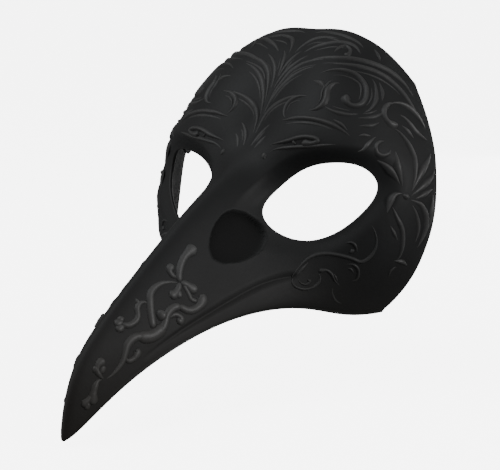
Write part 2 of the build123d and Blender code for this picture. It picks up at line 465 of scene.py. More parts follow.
# ------------------------------------------------------------------ form of the moulding
@dataclass
class SkinForm:
    """The smooth form of the moulding's outer face, as one cubic spline patch.

    u runs from the right rim over the middle to the left rim, v from the top rim to the bottom edge.
    """

    low: Vector
    high: Vector
    # Poles in millimetres over the wearer's left half: rows from the top rim down, each from the
    # middle to the side rim. The last row's first pole is the tip of the beak.
    poles: tuple = (
        ((0, 64, 62), (11, 64, 63), (22, 64, 62), (32, 64.5, 58.5), (42, 66.5, 53), (49, 68.5, 46),
         (56, 69, 39.5), (60.5, 69, 34)),
        ((0, 46, 55), (11, 45, 57), (23, 44, 57), (36, 46, 54), (48, 51, 47), (56, 58, 38.5),
         (63, 64, 30), (68, 67, 22)),
        ((0, 27, 39), (11, 24, 41), (24, 21, 42), (39, 22, 40), (54, 30, 33), (66, 42, 23),
         (73, 55, 13), (76.5, 61, 8)),
        ((0, 13, 20), (10, 9, 22), (23, 6, 23), (39, 7, 22), (56, 15, 17), (70, 29, 9),
         (79, 45, 1), (82, 56, -3)),
        ((0, 4, 6), (9, 0, 8), (22, -5, 8), (38, -4, 7), (57, 3, 4), (73, 17, -2),
         (82, 37, -9), (85, 52, -12)),
        ((0, -18, -6), (7, -15, -9), (16, -8, -13), (33, 0, -15), (55, 5, -16), (76, 16, -18),
         (86, 33, -22), (86, 51, -24)),
        ((0, -54, -22), (7, -50, -26), (15, -36, -31), (28, -14, -33), (51, 0, -35), (76, 11, -36),
         (86, 30, -38), (86, 48, -39)),
        ((0, -92, -45), (7, -86, -49), (16, -63, -53), (28, -30, -54), (49, -6, -53), (72, 8, -53),
         (84, 27, -54), (84, 42, -53)),
        ((0, -127, -68), (6, -121, -71), (16, -90, -68), (28, -49, -65), (44, -14, -66), (63, 5, -69),
         (76, 23, -69), (80, 37, -67)),
        ((0, -155, -92), (6, -149, -93), (15, -113, -83), (27, -63, -72), (41, -24, -74), (56, 2, -78),
         (67, 18, -79), (73, 32, -78)),
        ((0, -158, -126), (5, -152, -122.5), (14, -126, -99), (25, -78, -80), (36, -35, -75), (48, -9, -79),
         (58, 10, -87), (66, 29, -85.5)),
    )
    degree: int = 3
    find_rounds: int = 8

    def __post_init__(self) -> None:
        """Mirror the poles and fit them to the CAD moulding's box."""
        left = np.array(self.poles, float) * MM
        right = left[:, :0:-1] * np.array([-1.0, 1.0, 1.0])
        self.net = np.concatenate([right, left], axis=1)
        tops = self.grid(np.linspace(0, 1, 90), np.linspace(0, 1, 90)).reshape(-1, 3)
        for axis in range(3):
            ends = tops[:, axis].min(), tops[:, axis].max()
            for end, target in zip(ends, (self.low[axis], self.high[axis])):
                side = self.net[:, :, axis] * np.sign(end) > 0
                self.net[:, :, axis][side] *= min(target / end, 1.0)

    def weights(self, count: int, t: np.ndarray) -> np.ndarray:
        """Weights of a row of poles.

        Args:
            count: How many poles the row has.
            t: Places along it, from 0 to 1.

        Returns:
            One row of weights for each place.
        """
        spans = count - self.degree
        knots = np.concatenate([np.zeros(self.degree), np.arange(spans + 1), np.full(self.degree, spans)])
        place = np.clip(t, 0, 1) * spans
        span = np.minimum(place.astype(int), spans - 1) + self.degree
        weights = np.zeros((len(place), count + self.degree + 1))
        weights[np.arange(len(place)), span] = 1.0
        for order in range(1, self.degree + 1):
            for i in range(count + self.degree - order):
                rise = knots[i + order] - knots[i]
                fall = knots[i + order + 1] - knots[i + 1]
                value = (place - knots[i]) / rise * weights[:, i] if rise else 0.0
                if fall:
                    value = value + (knots[i + order + 1] - place) / fall * weights[:, i + 1]
                weights[:, i] = value
        return weights[:, :count]

    def grid(self, us: np.ndarray, vs: np.ndarray) -> np.ndarray:
        """Points of a whole grid.

        Args:
            us: Places across.
            vs: Places down.

        Returns:
            The points, indexed by v, then u.
        """
        rows, columns = self.net.shape[:2]
        return np.einsum("vi,uj,ijk->vuk", self.weights(rows, vs), self.weights(columns, us), self.net)

    def at(self, u: np.ndarray, v: np.ndarray) -> np.ndarray:
        """Points at single places.

        Args:
            u: Place across of each point.
            v: Place down of each point.

        Returns:
            The points.
        """
        rows, columns = self.net.shape[:2]
        down = np.einsum("ki,ijc->kjc", self.weights(rows, v), self.net)
        return np.einsum("kj,kjc->kc", self.weights(columns, u), down)

    def slopes(self, u: np.ndarray, v: np.ndarray, step: float = 1e-3) -> tuple[np.ndarray, np.ndarray]:
        """How the point moves with u and with v, per unit.

        Args:
            u: Place across of each point.
            v: Place down of each point.
            step: How far from it the two compared places lie.

        Returns:
            The way along u and the way along v.
        """
        u0, u1 = np.maximum(u - step, 0), np.minimum(u + step, 1)
        v0, v1 = np.maximum(v - step, 0), np.minimum(v + step, 1)
        across = (self.at(u1, v) - self.at(u0, v)) / (u1 - u0)[:, None]
        down = (self.at(u, v1) - self.at(u, v0)) / (v1 - v0)[:, None]
        return across, down

    def normals(self, u: np.ndarray, v: np.ndarray) -> np.ndarray:
        """Unit normals that point out of the mask's face."""
        across, down = self.slopes(u, v)
        return unit(-np.cross(across, down))

    def find(self, target: np.ndarray, u: np.ndarray, v: np.ndarray) -> tuple[np.ndarray, np.ndarray]:
        """Places whose points have given x and z.

        Args:
            target: The wanted x and z, one row for each place.
            u: First guesses of u.
            v: First guesses of v.

        Returns:
            The places, as u and v.
        """
        for _ in range(self.find_rounds):
            across, down = self.slopes(u, v)
            error = target - self.at(u, v)[:, [0, 2]]
            spin = across[:, 0] * down[:, 2] - across[:, 2] * down[:, 0]
            u = np.clip(u + (error[:, 0] * down[:, 2] - error[:, 1] * down[:, 0]) / spin, 0, 1)
            v = np.clip(v + (across[:, 0] * error[:, 1] - across[:, 2] * error[:, 0]) / spin, 0, 1)
        return u, v


@dataclass
class EyeOutline:
    """The closed outline of an eye hole, seen from the front, on one side of the mask."""

    side: int
    centre: tuple[float, float] = (46.5 * MM, -23.5 * MM)
    half_width: float = 25.0 * MM
    half_height: float = 19.3 * MM
    # From the inner corner over the top, in halves of the width and the height.
    knots: tuple = (
        (-0.98, 0.08), (-0.62, 0.71), (0.14, 1.0), (0.74, 0.89), (0.98, 0.46), (0.7, -0.34), (-0.1, -1.0),
        (-0.76, -0.6),
    )

    def __post_init__(self) -> None:
        """Fit a closed cubic spline through the knots."""
        size = np.array([self.half_width, self.half_height])
        self.points = (np.array(self.knots) * size + np.array(self.centre)) * np.array([self.side, 1.0])
        count = len(self.points)
        self.gaps = np.linalg.norm(np.roll(self.points, -1, 0) - self.points, axis=1) ** 0.8
        system = np.zeros((count, count))
        right = np.zeros((count, 2))
        for i in range(count):
            before, after = self.gaps[i - 1], self.gaps[i]
            system[i, i - 1] += after
            system[i, i] += 2 * (before + after)
            system[i, (i + 1) % count] += before
            rise = (self.points[(i + 1) % count] - self.points[i]) / after
            fall = (self.points[i] - self.points[i - 1]) / before
            right[i] = 3 * (after * fall + before * rise)
        self.tangents = np.linalg.solve(system, right)
        self.starts = np.concatenate([[0], np.cumsum(self.gaps)])

    def at(self, s: np.ndarray, grow: float = 0.0) -> np.ndarray:
        """Points of the outline.

        Args:
            s: Places round it, from 0 to 1.
            grow: How far outside it they lie.

        Returns:
            x and z of each point.
        """
        place = np.mod(s, 1.0) * self.starts[-1]
        i = np.clip(np.searchsorted(self.starts, place, side="right") - 1, 0, len(self.gaps) - 1)
        gap = self.gaps[i][:, None]
        t = (place - self.starts[i])[:, None] / gap
        p0, p1 = self.points[i], self.points[(i + 1) % len(self.points)]
        m0, m1 = self.tangents[i] * gap, self.tangents[(i + 1) % len(self.points)] * gap
        spot = (2 * t**3 - 3 * t**2 + 1) * p0 + (t**3 - 2 * t**2 + t) * m0
        spot = spot + (3 * t**2 - 2 * t**3) * p1 + (t**3 - t**2) * m1
        if grow:
            way = (6 * t**2 - 6 * t) * (p0 - p1) + (3 * t**2 - 4 * t + 1) * m0 + (3 * t**2 - 2 * t) * m1
            out = np.stack([-way[:, 1], way[:, 0]], 1) * self.side
            spot = spot + unit(out) * grow
        return spot

    def nearest(
        self, xz: np.ndarray, grow: float = 0.0, samples: int = 240
    ) -> tuple[np.ndarray, np.ndarray]:
        """Where points lie beside the outline.

        Args:
            xz: x and z of each point.
            grow: How far outside it the measured outline lies.
            samples: How many straight pieces stand for it.

        Returns:
            The distance from it, above zero outside, and the nearest place round it.
        """
        s = np.arange(samples) / samples
        ring = self.at(s, grow)
        ahead = np.roll(ring, -1, 0) - ring
        apart = xz[:, None, :] - ring[None]
        t = np.clip((apart * ahead).sum(2) / (ahead**2).sum(1), 0, 1)
        gap = np.linalg.norm(apart - t[:, :, None] * ahead, axis=2)
        best = gap.argmin(1)
        row = np.arange(len(xz))
        y0, y1 = ring[None, :, 1], np.roll(ring, -1, 0)[None, :, 1]
        x0, x1 = ring[None, :, 0], np.roll(ring, -1, 0)[None, :, 0]
        spans = (y0 > xz[:, 1:2]) != (y1 > xz[:, 1:2])
        crossing = x0 + (xz[:, 1:2] - y0) * (x1 - x0) / np.where(y1 == y0, 1.0, y1 - y0)
        inside = ((xz[:, 0:1] < crossing) & spans).sum(1) % 2 == 1
        return np.where(inside, -1.0, 1.0) * gap[row, best], (s[best] + t[row, best] / samples) % 1.0


class End(Enum):
    """How a raised stroke ends."""

    POINT = "point"
    ROUND = "round"
    BLOB = "blob"


@dataclass
class Stroke:
    """One raised stroke on the skin, drawn on the wearer's left and mirrored to the right.

    The path's first number runs from 0 at the middle of the mask to 1 at the rim, its second is v.
    """

    path: PATH
    width: float = 2.4
    height: float = 0.8
    start: End = End.POINT
    end: End = End.POINT
    swell: float = 0.45

    def places(self, samples: int) -> np.ndarray:
        """Evenly spaced places on a smooth curve through the path.

        Args:
            samples: How many places.

        Returns:
            Their two numbers, in rows.
        """
        knots = np.array(self.path, float)
        if len(knots) == 2:
            t = np.linspace(0, 1, samples)[:, None]
            return knots[0] * (1 - t) + knots[1] * t
        padded = np.vstack([2 * knots[0] - knots[1], knots, 2 * knots[-1] - knots[-2]])
        pieces = []
        t = np.linspace(0, 1, 24, endpoint=False)[:, None]
        for a, b, c, d in zip(padded, padded[1:], padded[2:], padded[3:]):
            bend = (2 * a - 5 * b + 4 * c - d) * t**2
            twist = (3 * b - a - 3 * c + d) * t**3
            pieces.append(0.5 * (2 * b + (c - a) * t + bend + twist))
        dense = np.vstack(pieces + [knots[-1:]])
        run = np.concatenate([[0], np.cumsum(np.linalg.norm(np.diff(dense, axis=0), axis=1))])
        even = np.linspace(0, run[-1], samples)
        return np.stack([np.interp(even, run, dense[:, k]) for k in range(2)], 1)

    def on(self, form: SkinForm, side: int, spacing: float) -> dict[str, np.ndarray]:
        """The stroke laid on a side of the skin.

        Args:
            form: The skin.
            side: 1 for the wearer's left, -1 for the right.
            spacing: Distance between its sections.

        Returns:
            Position, normal, half width and crest height of each section.
        """
        rough = self.places(80)
        spots = form.at(0.5 + side * rough[:, 0] / 2, rough[:, 1])
        run = np.concatenate([[0], np.cumsum(np.linalg.norm(np.diff(spots, axis=0), axis=1))])
        count = max(int(run[-1] / spacing), 6) + 1
        even = np.linspace(0, run[-1], count)
        u = 0.5 + side * np.interp(even, run, rough[:, 0]) / 2
        v = np.interp(even, run, rough[:, 1])
        half = self.width * MM / 2
        share = np.full(count, 1.0)
        for kind, away in ((self.start, even), (self.end, run[-1] - even)):
            if kind is End.POINT:
                reach = self.swell * run[-1]
                share = share * np.clip(away / reach, 0, 1) ** 0.75
            else:
                if kind is End.BLOB:
                    share = share * (1 + 0.55 * np.exp(-((away - 1.2 * half) / (1.3 * half)) ** 2))
                share = share * np.sqrt(np.clip(1 - (1 - np.clip(away / (1.3 * half), 0, 1)) ** 2, 0, 1))
        share = np.maximum(share, 0.04)
        return {
            "rail": form.at(u, v),
            "normal": form.normals(u, v),
            "half": half * share,
            "crest": self.height * MM * np.minimum(share, 1.15) ** 0.8,
            "u": u,
            "v": v,
        }


def drawn(width: float, height: float, *path: tuple[int, int], **look: object) -> Stroke:
    """A stroke from whole numbers.

    Args:
        width: Its width in millimetres.
        height: Its height in millimetres.
        *path: Its path, both numbers in thousandths.
        **look: Its ends and its swell.

    Returns:
        The stroke.
    """
    return Stroke([(u / 1000, v / 1000) for u, v in path], width, height, **look)


# ------------------------------------------------------------------ the moulding
@dataclass
class Moulding:
    """The rigid shell: a closed mesh of outer skin, edges and inner skin."""

    form: SkinForm
    wall: float = 2.0 * MM
    edge_round: float = 0.75 * MM
    cells_across: int = 310
    cells_down: int = 226
    inner_across: int = 150
    inner_down: int = 110
    socket_depth: float = 4.6 * MM
    socket_margin: float = 10.0 * MM
    socket_floor: float = 0.62
    nostril_centre: tuple[float, float] = (-40.5 * MM, -40.0 * MM)
    nostril_length: float = 35.0 * MM
    nostril_height: float = 21.0 * MM
    nostril_tilt: float = math.radians(27)
    nostril_depth: float = 5.5 * MM
    nostril_edge: float = 0.8
    lip_width: float = 2.2 * MM
    lip_height: float = 0.45 * MM
    groove_depth: float = 0.22 * MM
    crease_step: float = 1.5 * MM
    crease_power: float = 1.6
    eye_reach: tuple[float, float] = (40 * MM, 34 * MM)
    hole_reach: tuple[float, float] = (30 * MM, 24 * MM)
    inset: tuple[float, float] = (0.0022, 0.0035)
    round_angles: tuple[int, ...] = (30, 60, 90, 270, 300, 330)
    edge_wear_and_highlight: float = 0.25
    dark_share: float = 0.1
    drift_rounds: int = 40
    blend_rings: int = 7
    relax_rounds: int = 30
    crease: Stroke = field(
        default_factory=lambda: drawn(
            7.0, 1.1, (630, 822), (585, 830), (550, 845), (520, 870), (490, 905), (455, 935), (400, 958),
            (330, 975), start=End.ROUND, swell=0.6,
        )
    )

    def __post_init__(self) -> None:
        """Prepare both eye outlines."""
        self.eyes = [EyeOutline(1), EyeOutline(-1)]

    def nostril_reach(self, points: np.ndarray) -> np.ndarray:
        """How far out points lie in the nostril's egg shape.

        Args:
            points: The points.

        Returns:
            0 at its middle and 1 at its edge, for each point.
        """
        across = points[:, 1] - self.nostril_centre[0]
        up = points[:, 2] - self.nostril_centre[1]
        along = across * math.cos(self.nostril_tilt) + up * math.sin(self.nostril_tilt)
        over = up * math.cos(self.nostril_tilt) - across * math.sin(self.nostril_tilt)
        egg = 1 + 0.22 * along / (self.nostril_length / 2)
        return np.hypot(along / (self.nostril_length / 2), over / (self.nostril_height / 2 * egg))

    def sunk(self, points: np.ndarray) -> np.ndarray:
        """Height of the soft hollows over the smooth form: sockets and nostrils.

        Args:
            points: Points of the smooth form.

        Returns:
            The height at each point, below zero where the skin is sunk.
        """
        height = np.zeros(len(points))
        for eye in self.eyes:
            near = np.abs(points[:, 0] - eye.centre[0] * eye.side) < self.eye_reach[0]
            near &= np.abs(points[:, 2] - eye.centre[1]) < self.eye_reach[1]
            near &= points[:, 0] * eye.side > 0
            spot = points[near]
            gap, _ = eye.nearest(spot[:, [0, 2]], samples=120)
            above = smooth_step((spot[:, 2] - eye.centre[1]) / (22 * MM) + 0.5)
            depth = self.socket_depth * (self.socket_floor + (1 - self.socket_floor) * above)
            height[near] -= depth * (1 - smooth_step(gap / self.socket_margin))
        reach = self.nostril_reach(points)
        height -= self.nostril_depth * np.sqrt(np.clip(1 - reach**2, 0, 1)) ** self.nostril_edge
        return height

    def skin(self, u: np.ndarray, v: np.ndarray) -> np.ndarray:
        """Points of the outer skin, hollows and lip included.

        Args:
            u: Place across of each point.
            v: Place down of each point.

        Returns:
            The points.
        """
        base = self.form.at(u, v)
        _, down = self.form.slopes(u, v)
        height = self.sunk(base) + self.lip(v, down)
        return base + self.form.normals(u, v) * height[:, None]

    def crease_depth(self, points: np.ndarray) -> np.ndarray:
        """How deep the crease along each flank of the beak is.

        Args:
            points: Points of the smooth form.

        Returns:
            The depth at each point.
        """
        depth = np.zeros(len(points))
        for side in (1, -1):
            laid = self.crease.on(self.form, side, self.crease_step)
            rail, half = laid["rail"], laid["half"]
            margin = half.max()
            close = (points > rail.min(0) - margin) & (points < rail.max(0) + margin)
            near = np.all(close, axis=1).nonzero()[0]
            start, ahead = rail[:-1], np.diff(rail, axis=0)
            apart = points[near][:, None, :] - start[None]
            t = np.clip((apart * ahead).sum(2) / (ahead**2).sum(1), 0, 1)
            gap = np.linalg.norm(apart - t[:, :, None] * ahead, axis=2)
            best = gap.argmin(1)
            row = np.arange(len(near))
            t = t[row, best]
            local = half[best] * (1 - t) + half[best + 1] * t
            bottom = laid["crest"][best] * (1 - t) + laid["crest"][best + 1] * t
            x = np.clip(gap[row, best] / local, 0, 1)
            depth[near] = np.maximum(depth[near], bottom * (1 - x) ** self.crease_power)
        return depth

    def lip(self, v: np.ndarray, down: np.ndarray) -> np.ndarray:
        """Height of the rolled lip along the bottom edge.

        Args:
            v: Place down of each point.
            down: The way along v there.

        Returns:
            The height at each point.
        """
        away = (1 - v) * np.linalg.norm(down, axis=1)
        bead = self.lip_height * np.clip(1 - (away / self.lip_width) ** 2, 0, 1)
        beside = (away - 1.35 * self.lip_width) / (0.45 * self.lip_width)
        groove = self.groove_depth * np.exp(-(beside**2))
        return bead - groove

    @staticmethod
    def loop_round(here: np.ndarray) -> tuple[np.ndarray, np.ndarray]:
        """Follow the edge of a patch of cells.

        Args:
            here: Which cells of the grid belong to the patch.

        Returns:
            Row and column of each grid point round it, in order.
        """
        follow = {}
        for j, i in zip(*here.nonzero()):
            corners = ((j, i), (j, i + 1), (j + 1, i + 1), (j + 1, i))
            beside = ((j - 1, i), (j, i + 1), (j + 1, i), (j, i - 1))
            for k in range(4):
                if not here[beside[k]]:
                    follow[corners[k]] = corners[(k + 1) % 4]
        first = next(iter(follow))
        loop = [first]
        while follow[loop[-1]] != first:
            loop.append(follow[loop[-1]])
        at = np.array(loop)
        return at[:, 0], at[:, 1]

    def relax(self, u: np.ndarray, v: np.ndarray, held: np.ndarray, here: np.ndarray) -> None:
        """Even out the grid round a hole, in place.

        Args:
            u: Place across of each grid point.
            v: Place down of each grid point.
            held: Which grid points stay, because they lie on the hole's edge.
            here: Which cells the hole takes.
        """
        rows, columns = u.shape
        solid = np.zeros(u.shape, bool)
        for dj in (0, 1):
            for di in (0, 1):
                solid[dj : dj + rows - 1, di : di + columns - 1] |= ~here
        reach = held.copy()
        for _ in range(self.blend_rings):
            beside = reach[:-2, 1:-1] | reach[2:, 1:-1] | reach[1:-1, :-2] | reach[1:-1, 2:]
            reach[1:-1, 1:-1] |= beside
        move = reach & solid & ~held
        move[0] = move[-1] = False
        move[:, 0] = move[:, -1] = False
        j, i = move.nonzero()
        for _ in range(self.relax_rounds):
            total, sum_u, sum_v = 0, 0, 0
            for dj, di in ((1, 0), (-1, 0), (0, 1), (0, -1)):
                w = solid[j + dj, i + di].astype(float)
                total = total + w
                sum_u = sum_u + w * u[j + dj, i + di]
                sum_v = sum_v + w * v[j + dj, i + di]
            u[j, i] = sum_u / total
            v[j, i] = sum_v / total

    def holes(self, us: np.ndarray, vs: np.ndarray, grow: float) -> tuple:
        """Open the eye holes in a grid and draw its lines to their outlines.

        Args:
            us: The grid's places across.
            vs: The grid's places down.
            grow: How far outside the outline the grid ends.

        Returns:
            u and v of every point, the quads that stay, and a loop with its places round each outline.
        """
        u, v = np.meshgrid(us, vs)
        points = self.form.grid(us, vs)
        rows, columns = u.shape
        keep = np.ones((rows - 1, columns - 1), bool)
        loops = []
        for eye in self.eyes:
            middle = (points[:-1, :-1] + points[1:, :-1] + points[:-1, 1:] + points[1:, 1:]) / 4
            near = np.abs(middle[..., 0] - eye.centre[0] * eye.side) < self.hole_reach[0]
            near &= np.abs(middle[..., 2] - eye.centre[1]) < self.hole_reach[1]
            gap, _ = eye.nearest(middle[near][:, [0, 2]], grow)
            here = np.zeros_like(keep)
            here[near] = gap < 0
            keep &= ~here
            row, column = self.loop_round(here)
            _, s = eye.nearest(points[row, column][:, [0, 2]], grow)
            s = np.unwrap(s, period=1.0)
            direction = np.sign(s[-1] - s[0])
            ramp = direction * np.arange(len(s)) / len(s)
            drift = s - ramp
            for _ in range(self.drift_rounds):
                drift = 0.5 * drift + 0.25 * (np.roll(drift, 1) + np.roll(drift, -1))
            s = drift + ramp
            fixed = self.form.find(eye.at(s, grow), u[row, column], v[row, column])
            u[row, column], v[row, column] = fixed
            loops.append((eye, row * columns + column, s))
            held = np.zeros(u.shape, bool)
            held[row, column] = True
            self.relax(u, v, held, here)
        j, i = keep.nonzero()
        a = j * columns + i
        quads = np.stack([a, a + columns, a + columns + 1, a + 1], 1)
        return u.ravel(), v.ravel(), quads, loops

    @staticmethod
    def border(rows: int, columns: int) -> tuple[np.ndarray, np.ndarray]:
        """Grid points round the rim.

        Args:
            rows: How many rows of points the grid has.
            columns: How many columns.

        Returns:
            Their numbers, and their places round the rim from 0 to 4.
        """
        top = np.arange(columns - 1)
        left = np.arange(rows - 1) * columns + columns - 1
        bottom = (rows - 1) * columns + np.arange(columns - 1, 0, -1)
        right = np.arange(rows - 1, 0, -1) * columns
        places = [np.arange(len(run)) / len(run) + k for k, run in enumerate((top, left, bottom, right))]
        return np.concatenate([top, left, bottom, right]), np.concatenate(places)

    @staticmethod
    def zip_loops(
        a: np.ndarray, at_a: np.ndarray, b: np.ndarray, at_b: np.ndarray, period: float
    ) -> list[list[int]]:
        """Triangles between two loops that run the same way.

        Args:
            a: Point numbers of the first loop.
            at_a: Their places round it.
            b: Point numbers of the second loop.
            at_b: Their places round it, in the same measure.
            period: The length of a whole round in that measure.

        Returns:
            The triangles.
        """
        shift = int(np.argmin(np.abs((at_b - at_a[0] + period / 2) % period - period / 2)))
        b, at_b = np.roll(b, -shift), np.roll(at_b, -shift)
        way = np.sign(((at_a[1] - at_a[0] + period / 2) % period) - period / 2)
        run_a = np.concatenate([(way * (at_a - at_a[0])) % period, [period]])
        run_b = np.unwrap(way * (at_b - at_a[0]), period=period)
        run_b = run_b - np.round(run_b[0] / period) * period
        run_b = np.concatenate([run_b, [run_b[0] + period]])
        i = j = 0
        faces = []
        while i < len(a) or j < len(b):
            step_a = j == len(b) or (i < len(a) and run_a[i + 1] <= run_b[j + 1])
            if step_a:
                faces.append([a[i % len(a)], a[(i + 1) % len(a)], b[j % len(b)]])
                i += 1
            else:
                faces.append([a[i % len(a)], b[(j + 1) % len(b)], b[j % len(b)]])
                j += 1
        return faces

    def add(self, spots: np.ndarray, raised: float = 0.0) -> np.ndarray:
        """Add points to the mesh.

        Args:
            spots: The points.
            raised: How much they are lightened, from 0 to 1: rubbed wear plus a painted highlight.

        Returns:
            Their numbers.
        """
        numbers = np.arange(len(spots)) + self.total
        self.points.append(spots)
        self.raised.append(np.full(len(spots), raised))
        self.total += len(spots)
        return numbers

    @staticmethod
    def band(before: np.ndarray, after: np.ndarray) -> np.ndarray:
        """Quads between two rings of points with the same count."""
        return np.stack([before, np.roll(before, -1), np.roll(after, -1), after], 1)

    def layer(self, outer: bool) -> dict[str, object]:
        """Add the outer or the inner skin.

        Args:
            outer: Whether it is the outer one.

        Returns:
            u, v, base point and height of every point, and the loops round the rim and the eye holes.
        """
        cells = (self.cells_across, self.cells_down) if outer else (self.inner_across, self.inner_down)
        us, vs = (np.linspace(inset, 1 - inset, count + 1) for inset, count in zip(self.inset, cells))
        u, v, quads, eyes = self.holes(us, vs, self.edge_round)
        base = self.form.at(u, v)
        height = self.sunk(base)
        if outer:
            _, slope = self.form.slopes(u, v)
            height = height + self.lip(v, slope) - self.crease_depth(base)
            quads = quads[:, ::-1]
        else:
            height = height - self.wall
        first = self.add(base + self.form.normals(u, v) * height[:, None])[0]
        self.faces += (quads + first).tolist()
        rim, rim_at = self.border(len(vs), len(us))
        eyes = [(eye, loop + first, s) for eye, loop, s in eyes]
        return {"u": u, "v": v, "base": base, "height": height, "rim": (rim + first, rim_at), "eyes": eyes}

    def rim_edge(self, outer: dict[str, object], inner: dict[str, object]) -> None:
        """Join the two skins round the rim with a rounded edge.

        Args:
            outer: The outer skin.
            inner: The inner skin.
        """
        ring, ring_at = outer["rim"]
        u, v = outer["u"][ring], outer["v"][ring]
        across, down = self.form.slopes(u, v)
        ways = np.stack([unit(-down), unit(across), unit(down), unit(-across)])
        way = ways[ring_at.astype(int) % 4, np.arange(len(ring))]
        for _ in range(6):
            way = unit(way + 0.5 * (np.roll(way, 1, 0) + np.roll(way, -1, 0)))
        normal = self.form.normals(u, v)
        top = self.points[0][ring]
        deep = self.wall + outer["height"][ring]
        previous = ring
        for angle in self.round_angles:
            turn = math.radians(angle)
            out = self.edge_round * abs(math.sin(turn))
            fall = self.edge_round * (1 - math.cos(turn))
            drop = np.full(len(ring), fall) if angle <= 90 else deep - fall
            new = self.add(top + way * out - normal * drop[:, None])
            self.faces += self.band(previous, new)[:, ::-1].tolist()
            previous = new
        self.faces += [face[::-1] for face in self.zip_loops(previous, ring_at, *inner["rim"], 4.0)]

    def eye_edges(self, outer: dict[str, object], inner: dict[str, object]) -> None:
        """Join the two skins round each eye hole with a rounded edge.

        Args:
            outer: The outer skin.
            inner: The inner skin.
        """
        for (eye, loop, s), (_, inner_loop, inner_s) in zip(outer["eyes"], inner["eyes"]):
            u, v = outer["u"][loop], outer["v"][loop]
            sink = self.sunk(self.form.at(u, v))
            previous = loop
            for angle in self.round_angles:
                turn = math.radians(angle)
                fall = self.edge_round * (1 - math.cos(turn))
                drop = fall if angle <= 90 else self.wall - fall
                grow = self.edge_round * (1 - abs(math.sin(turn)))
                at_u, at_v = self.form.find(eye.at(s, grow), u, v)
                spot = self.form.at(at_u, at_v) + self.form.normals(at_u, at_v) * (sink - drop)[:, None]
                # The outer rounds of the eye-hole edge are lightened: rubbed wear plus a painted highlight.
                new = self.add(spot, self.edge_wear_and_highlight if angle <= 60 else 0.0)
                self.faces += self.band(previous, new).tolist()
                previous = new
            self.faces += self.zip_loops(previous, s % 1.0, inner_loop, inner_s % 1.0, 1.0)

    def build(self, plastic: bpy.types.Material) -> bpy.types.Object:
        """Make the shell.

        Args:
            plastic: What it is made of.

        Returns:
            The finished piece.
        """
        self.points, self.raised, self.faces, self.total = [], [], [], 0
        outer, inner = self.layer(True), self.layer(False)
        self.rim_edge(outer, inner)
        self.eye_edges(outer, inner)
        mesh = mesh_from("shell_skin", np.concatenate(self.points), self.faces)
        # Painted shade in the nostril dimple: its middle gets a darker colour, fading out over dark_share of
        # its reach.
        hollow = np.zeros(self.total)
        dark = np.clip((1 - self.nostril_reach(outer["base"])) / self.dark_share, 0, 1)
        hollow[: len(dark)] = dark
        for name, values in (("raised", np.concatenate(self.raised)), ("hollow", hollow)):
            mesh.attributes.new(name, "FLOAT", "POINT").data.foreach_set("value", values)
        work = bmesh.new()
        work.from_mesh(mesh)
        bmesh.ops.delete(work, geom=[vert for vert in work.verts if not vert.link_faces], context="VERTS")
        bmesh.ops.recalc_face_normals(work, faces=work.faces)
        open_edges = sum(1 for edge in work.edges if len(edge.link_faces) != 2)
        work.to_mesh(mesh)
        work.free()
        log.info("shell_skin: %d faces, %d open edges", len(mesh.polygons), open_edges)
        return add_object("shell_skin", mesh, plastic)


# ------------------------------------------------------------------ repeated and swept shapes
class Tree(NodeMaker):
    """A Geometry Nodes tree with short calls for the nodes it needs."""

    def __init__(self, name: str, inputs: dict[str, tuple[str, object]]) -> None:
        """Start a tree.

        Args:
            name: The tree's name.
            inputs: Socket kind and default value of each input, by name.
        """
        super().__init__(bpy.data.node_groups.new(name, "GeometryNodeTree"))
        self.sockets = {}
        sides = self.tree.interface
        sides.new_socket("Geometry", in_out="INPUT", socket_type="NodeSocketGeometry")
        for key, (kind, value) in inputs.items():
            made = sides.new_socket(key, in_out="INPUT", socket_type="NodeSocket" + kind)
            if value is not None:
                made.default_value = value
            self.sockets[key] = made.identifier
        sides.new_socket("Geometry", in_out="OUTPUT", socket_type="NodeSocketGeometry")
        self.input = self.tree.nodes.new("NodeGroupInput").outputs

    def along(self, start: object, way: object, reach: object) -> object:
        """A point some reach along a way from a start.

        Args:
            start: The socket of the start.
            way: The socket of the way.
            reach: The socket of the reach.

        Returns:
            The socket of the point.
        """
        scaled = self.node("ShaderNodeVectorMath", {"operation": "SCALE"}, Vector=way, Scale=reach)
        total = self.node("ShaderNodeVectorMath", {"operation": "ADD"})
        self.put(total.inputs[0], start)
        self.put(total.inputs[1], scaled.outputs["Vector"])
        return total.outputs["Vector"]

    def named(self, name: str, kind: str = "FLOAT") -> object:
        """A named attribute's value."""
        node = self.node("GeometryNodeInputNamedAttribute", {"data_type": kind}, Name=name)
        return node.outputs["Attribute"]

    def store(self, geometry: object, name: str, value: object, kind: str = "FLOAT") -> object:
        """Store a value on the points of a geometry.

        Args:
            geometry: The socket of the geometry.
            name: The attribute's name.
            value: The socket of its value.
            kind: Its data type.

        Returns:
            The socket of the geometry that has it.
        """
        settings = {"data_type": kind, "domain": "POINT"}
        inputs = {"Geometry": geometry, "Name": name, "Value": value}
        return self.node("GeometryNodeStoreNamedAttribute", settings, **inputs).outputs["Geometry"]

    def finish(self, geometry: object, material: object) -> None:
        """End the tree in real geometry of one material.

        Args:
            geometry: The socket of the geometry.
            material: The socket of the material.
        """
        real = self.node("GeometryNodeRealizeInstances", None, Geometry=geometry).outputs["Geometry"]
        dressed = self.node("GeometryNodeSetMaterial", None, Geometry=real, Material=material)
        self.put(self.tree.nodes.new("NodeGroupOutput").inputs["Geometry"], dressed.outputs["Geometry"])

    def run(self, name: str, mesh: bpy.types.Mesh, values: dict[str, object]) -> bpy.types.Object:
        """Evaluate the tree on a mesh.

        Args:
            name: Name of the piece that comes out.
            mesh: What goes in.
            values: Values of the inputs, by name.

        Returns:
            The piece, as a plain mesh object.
        """
        source = add_object(name + "_source", mesh)
        modifier = source.modifiers.new(self.tree.name, "NODES")
        modifier.node_group = self.tree
        for key, value in values.items():
            modifier[self.sockets[key]] = value
        made = evaluated(source)
        source.modifiers.remove(modifier)
        bpy.data.objects.remove(source)
        made.name = name
        outward(made)
        return add_object(name, made)


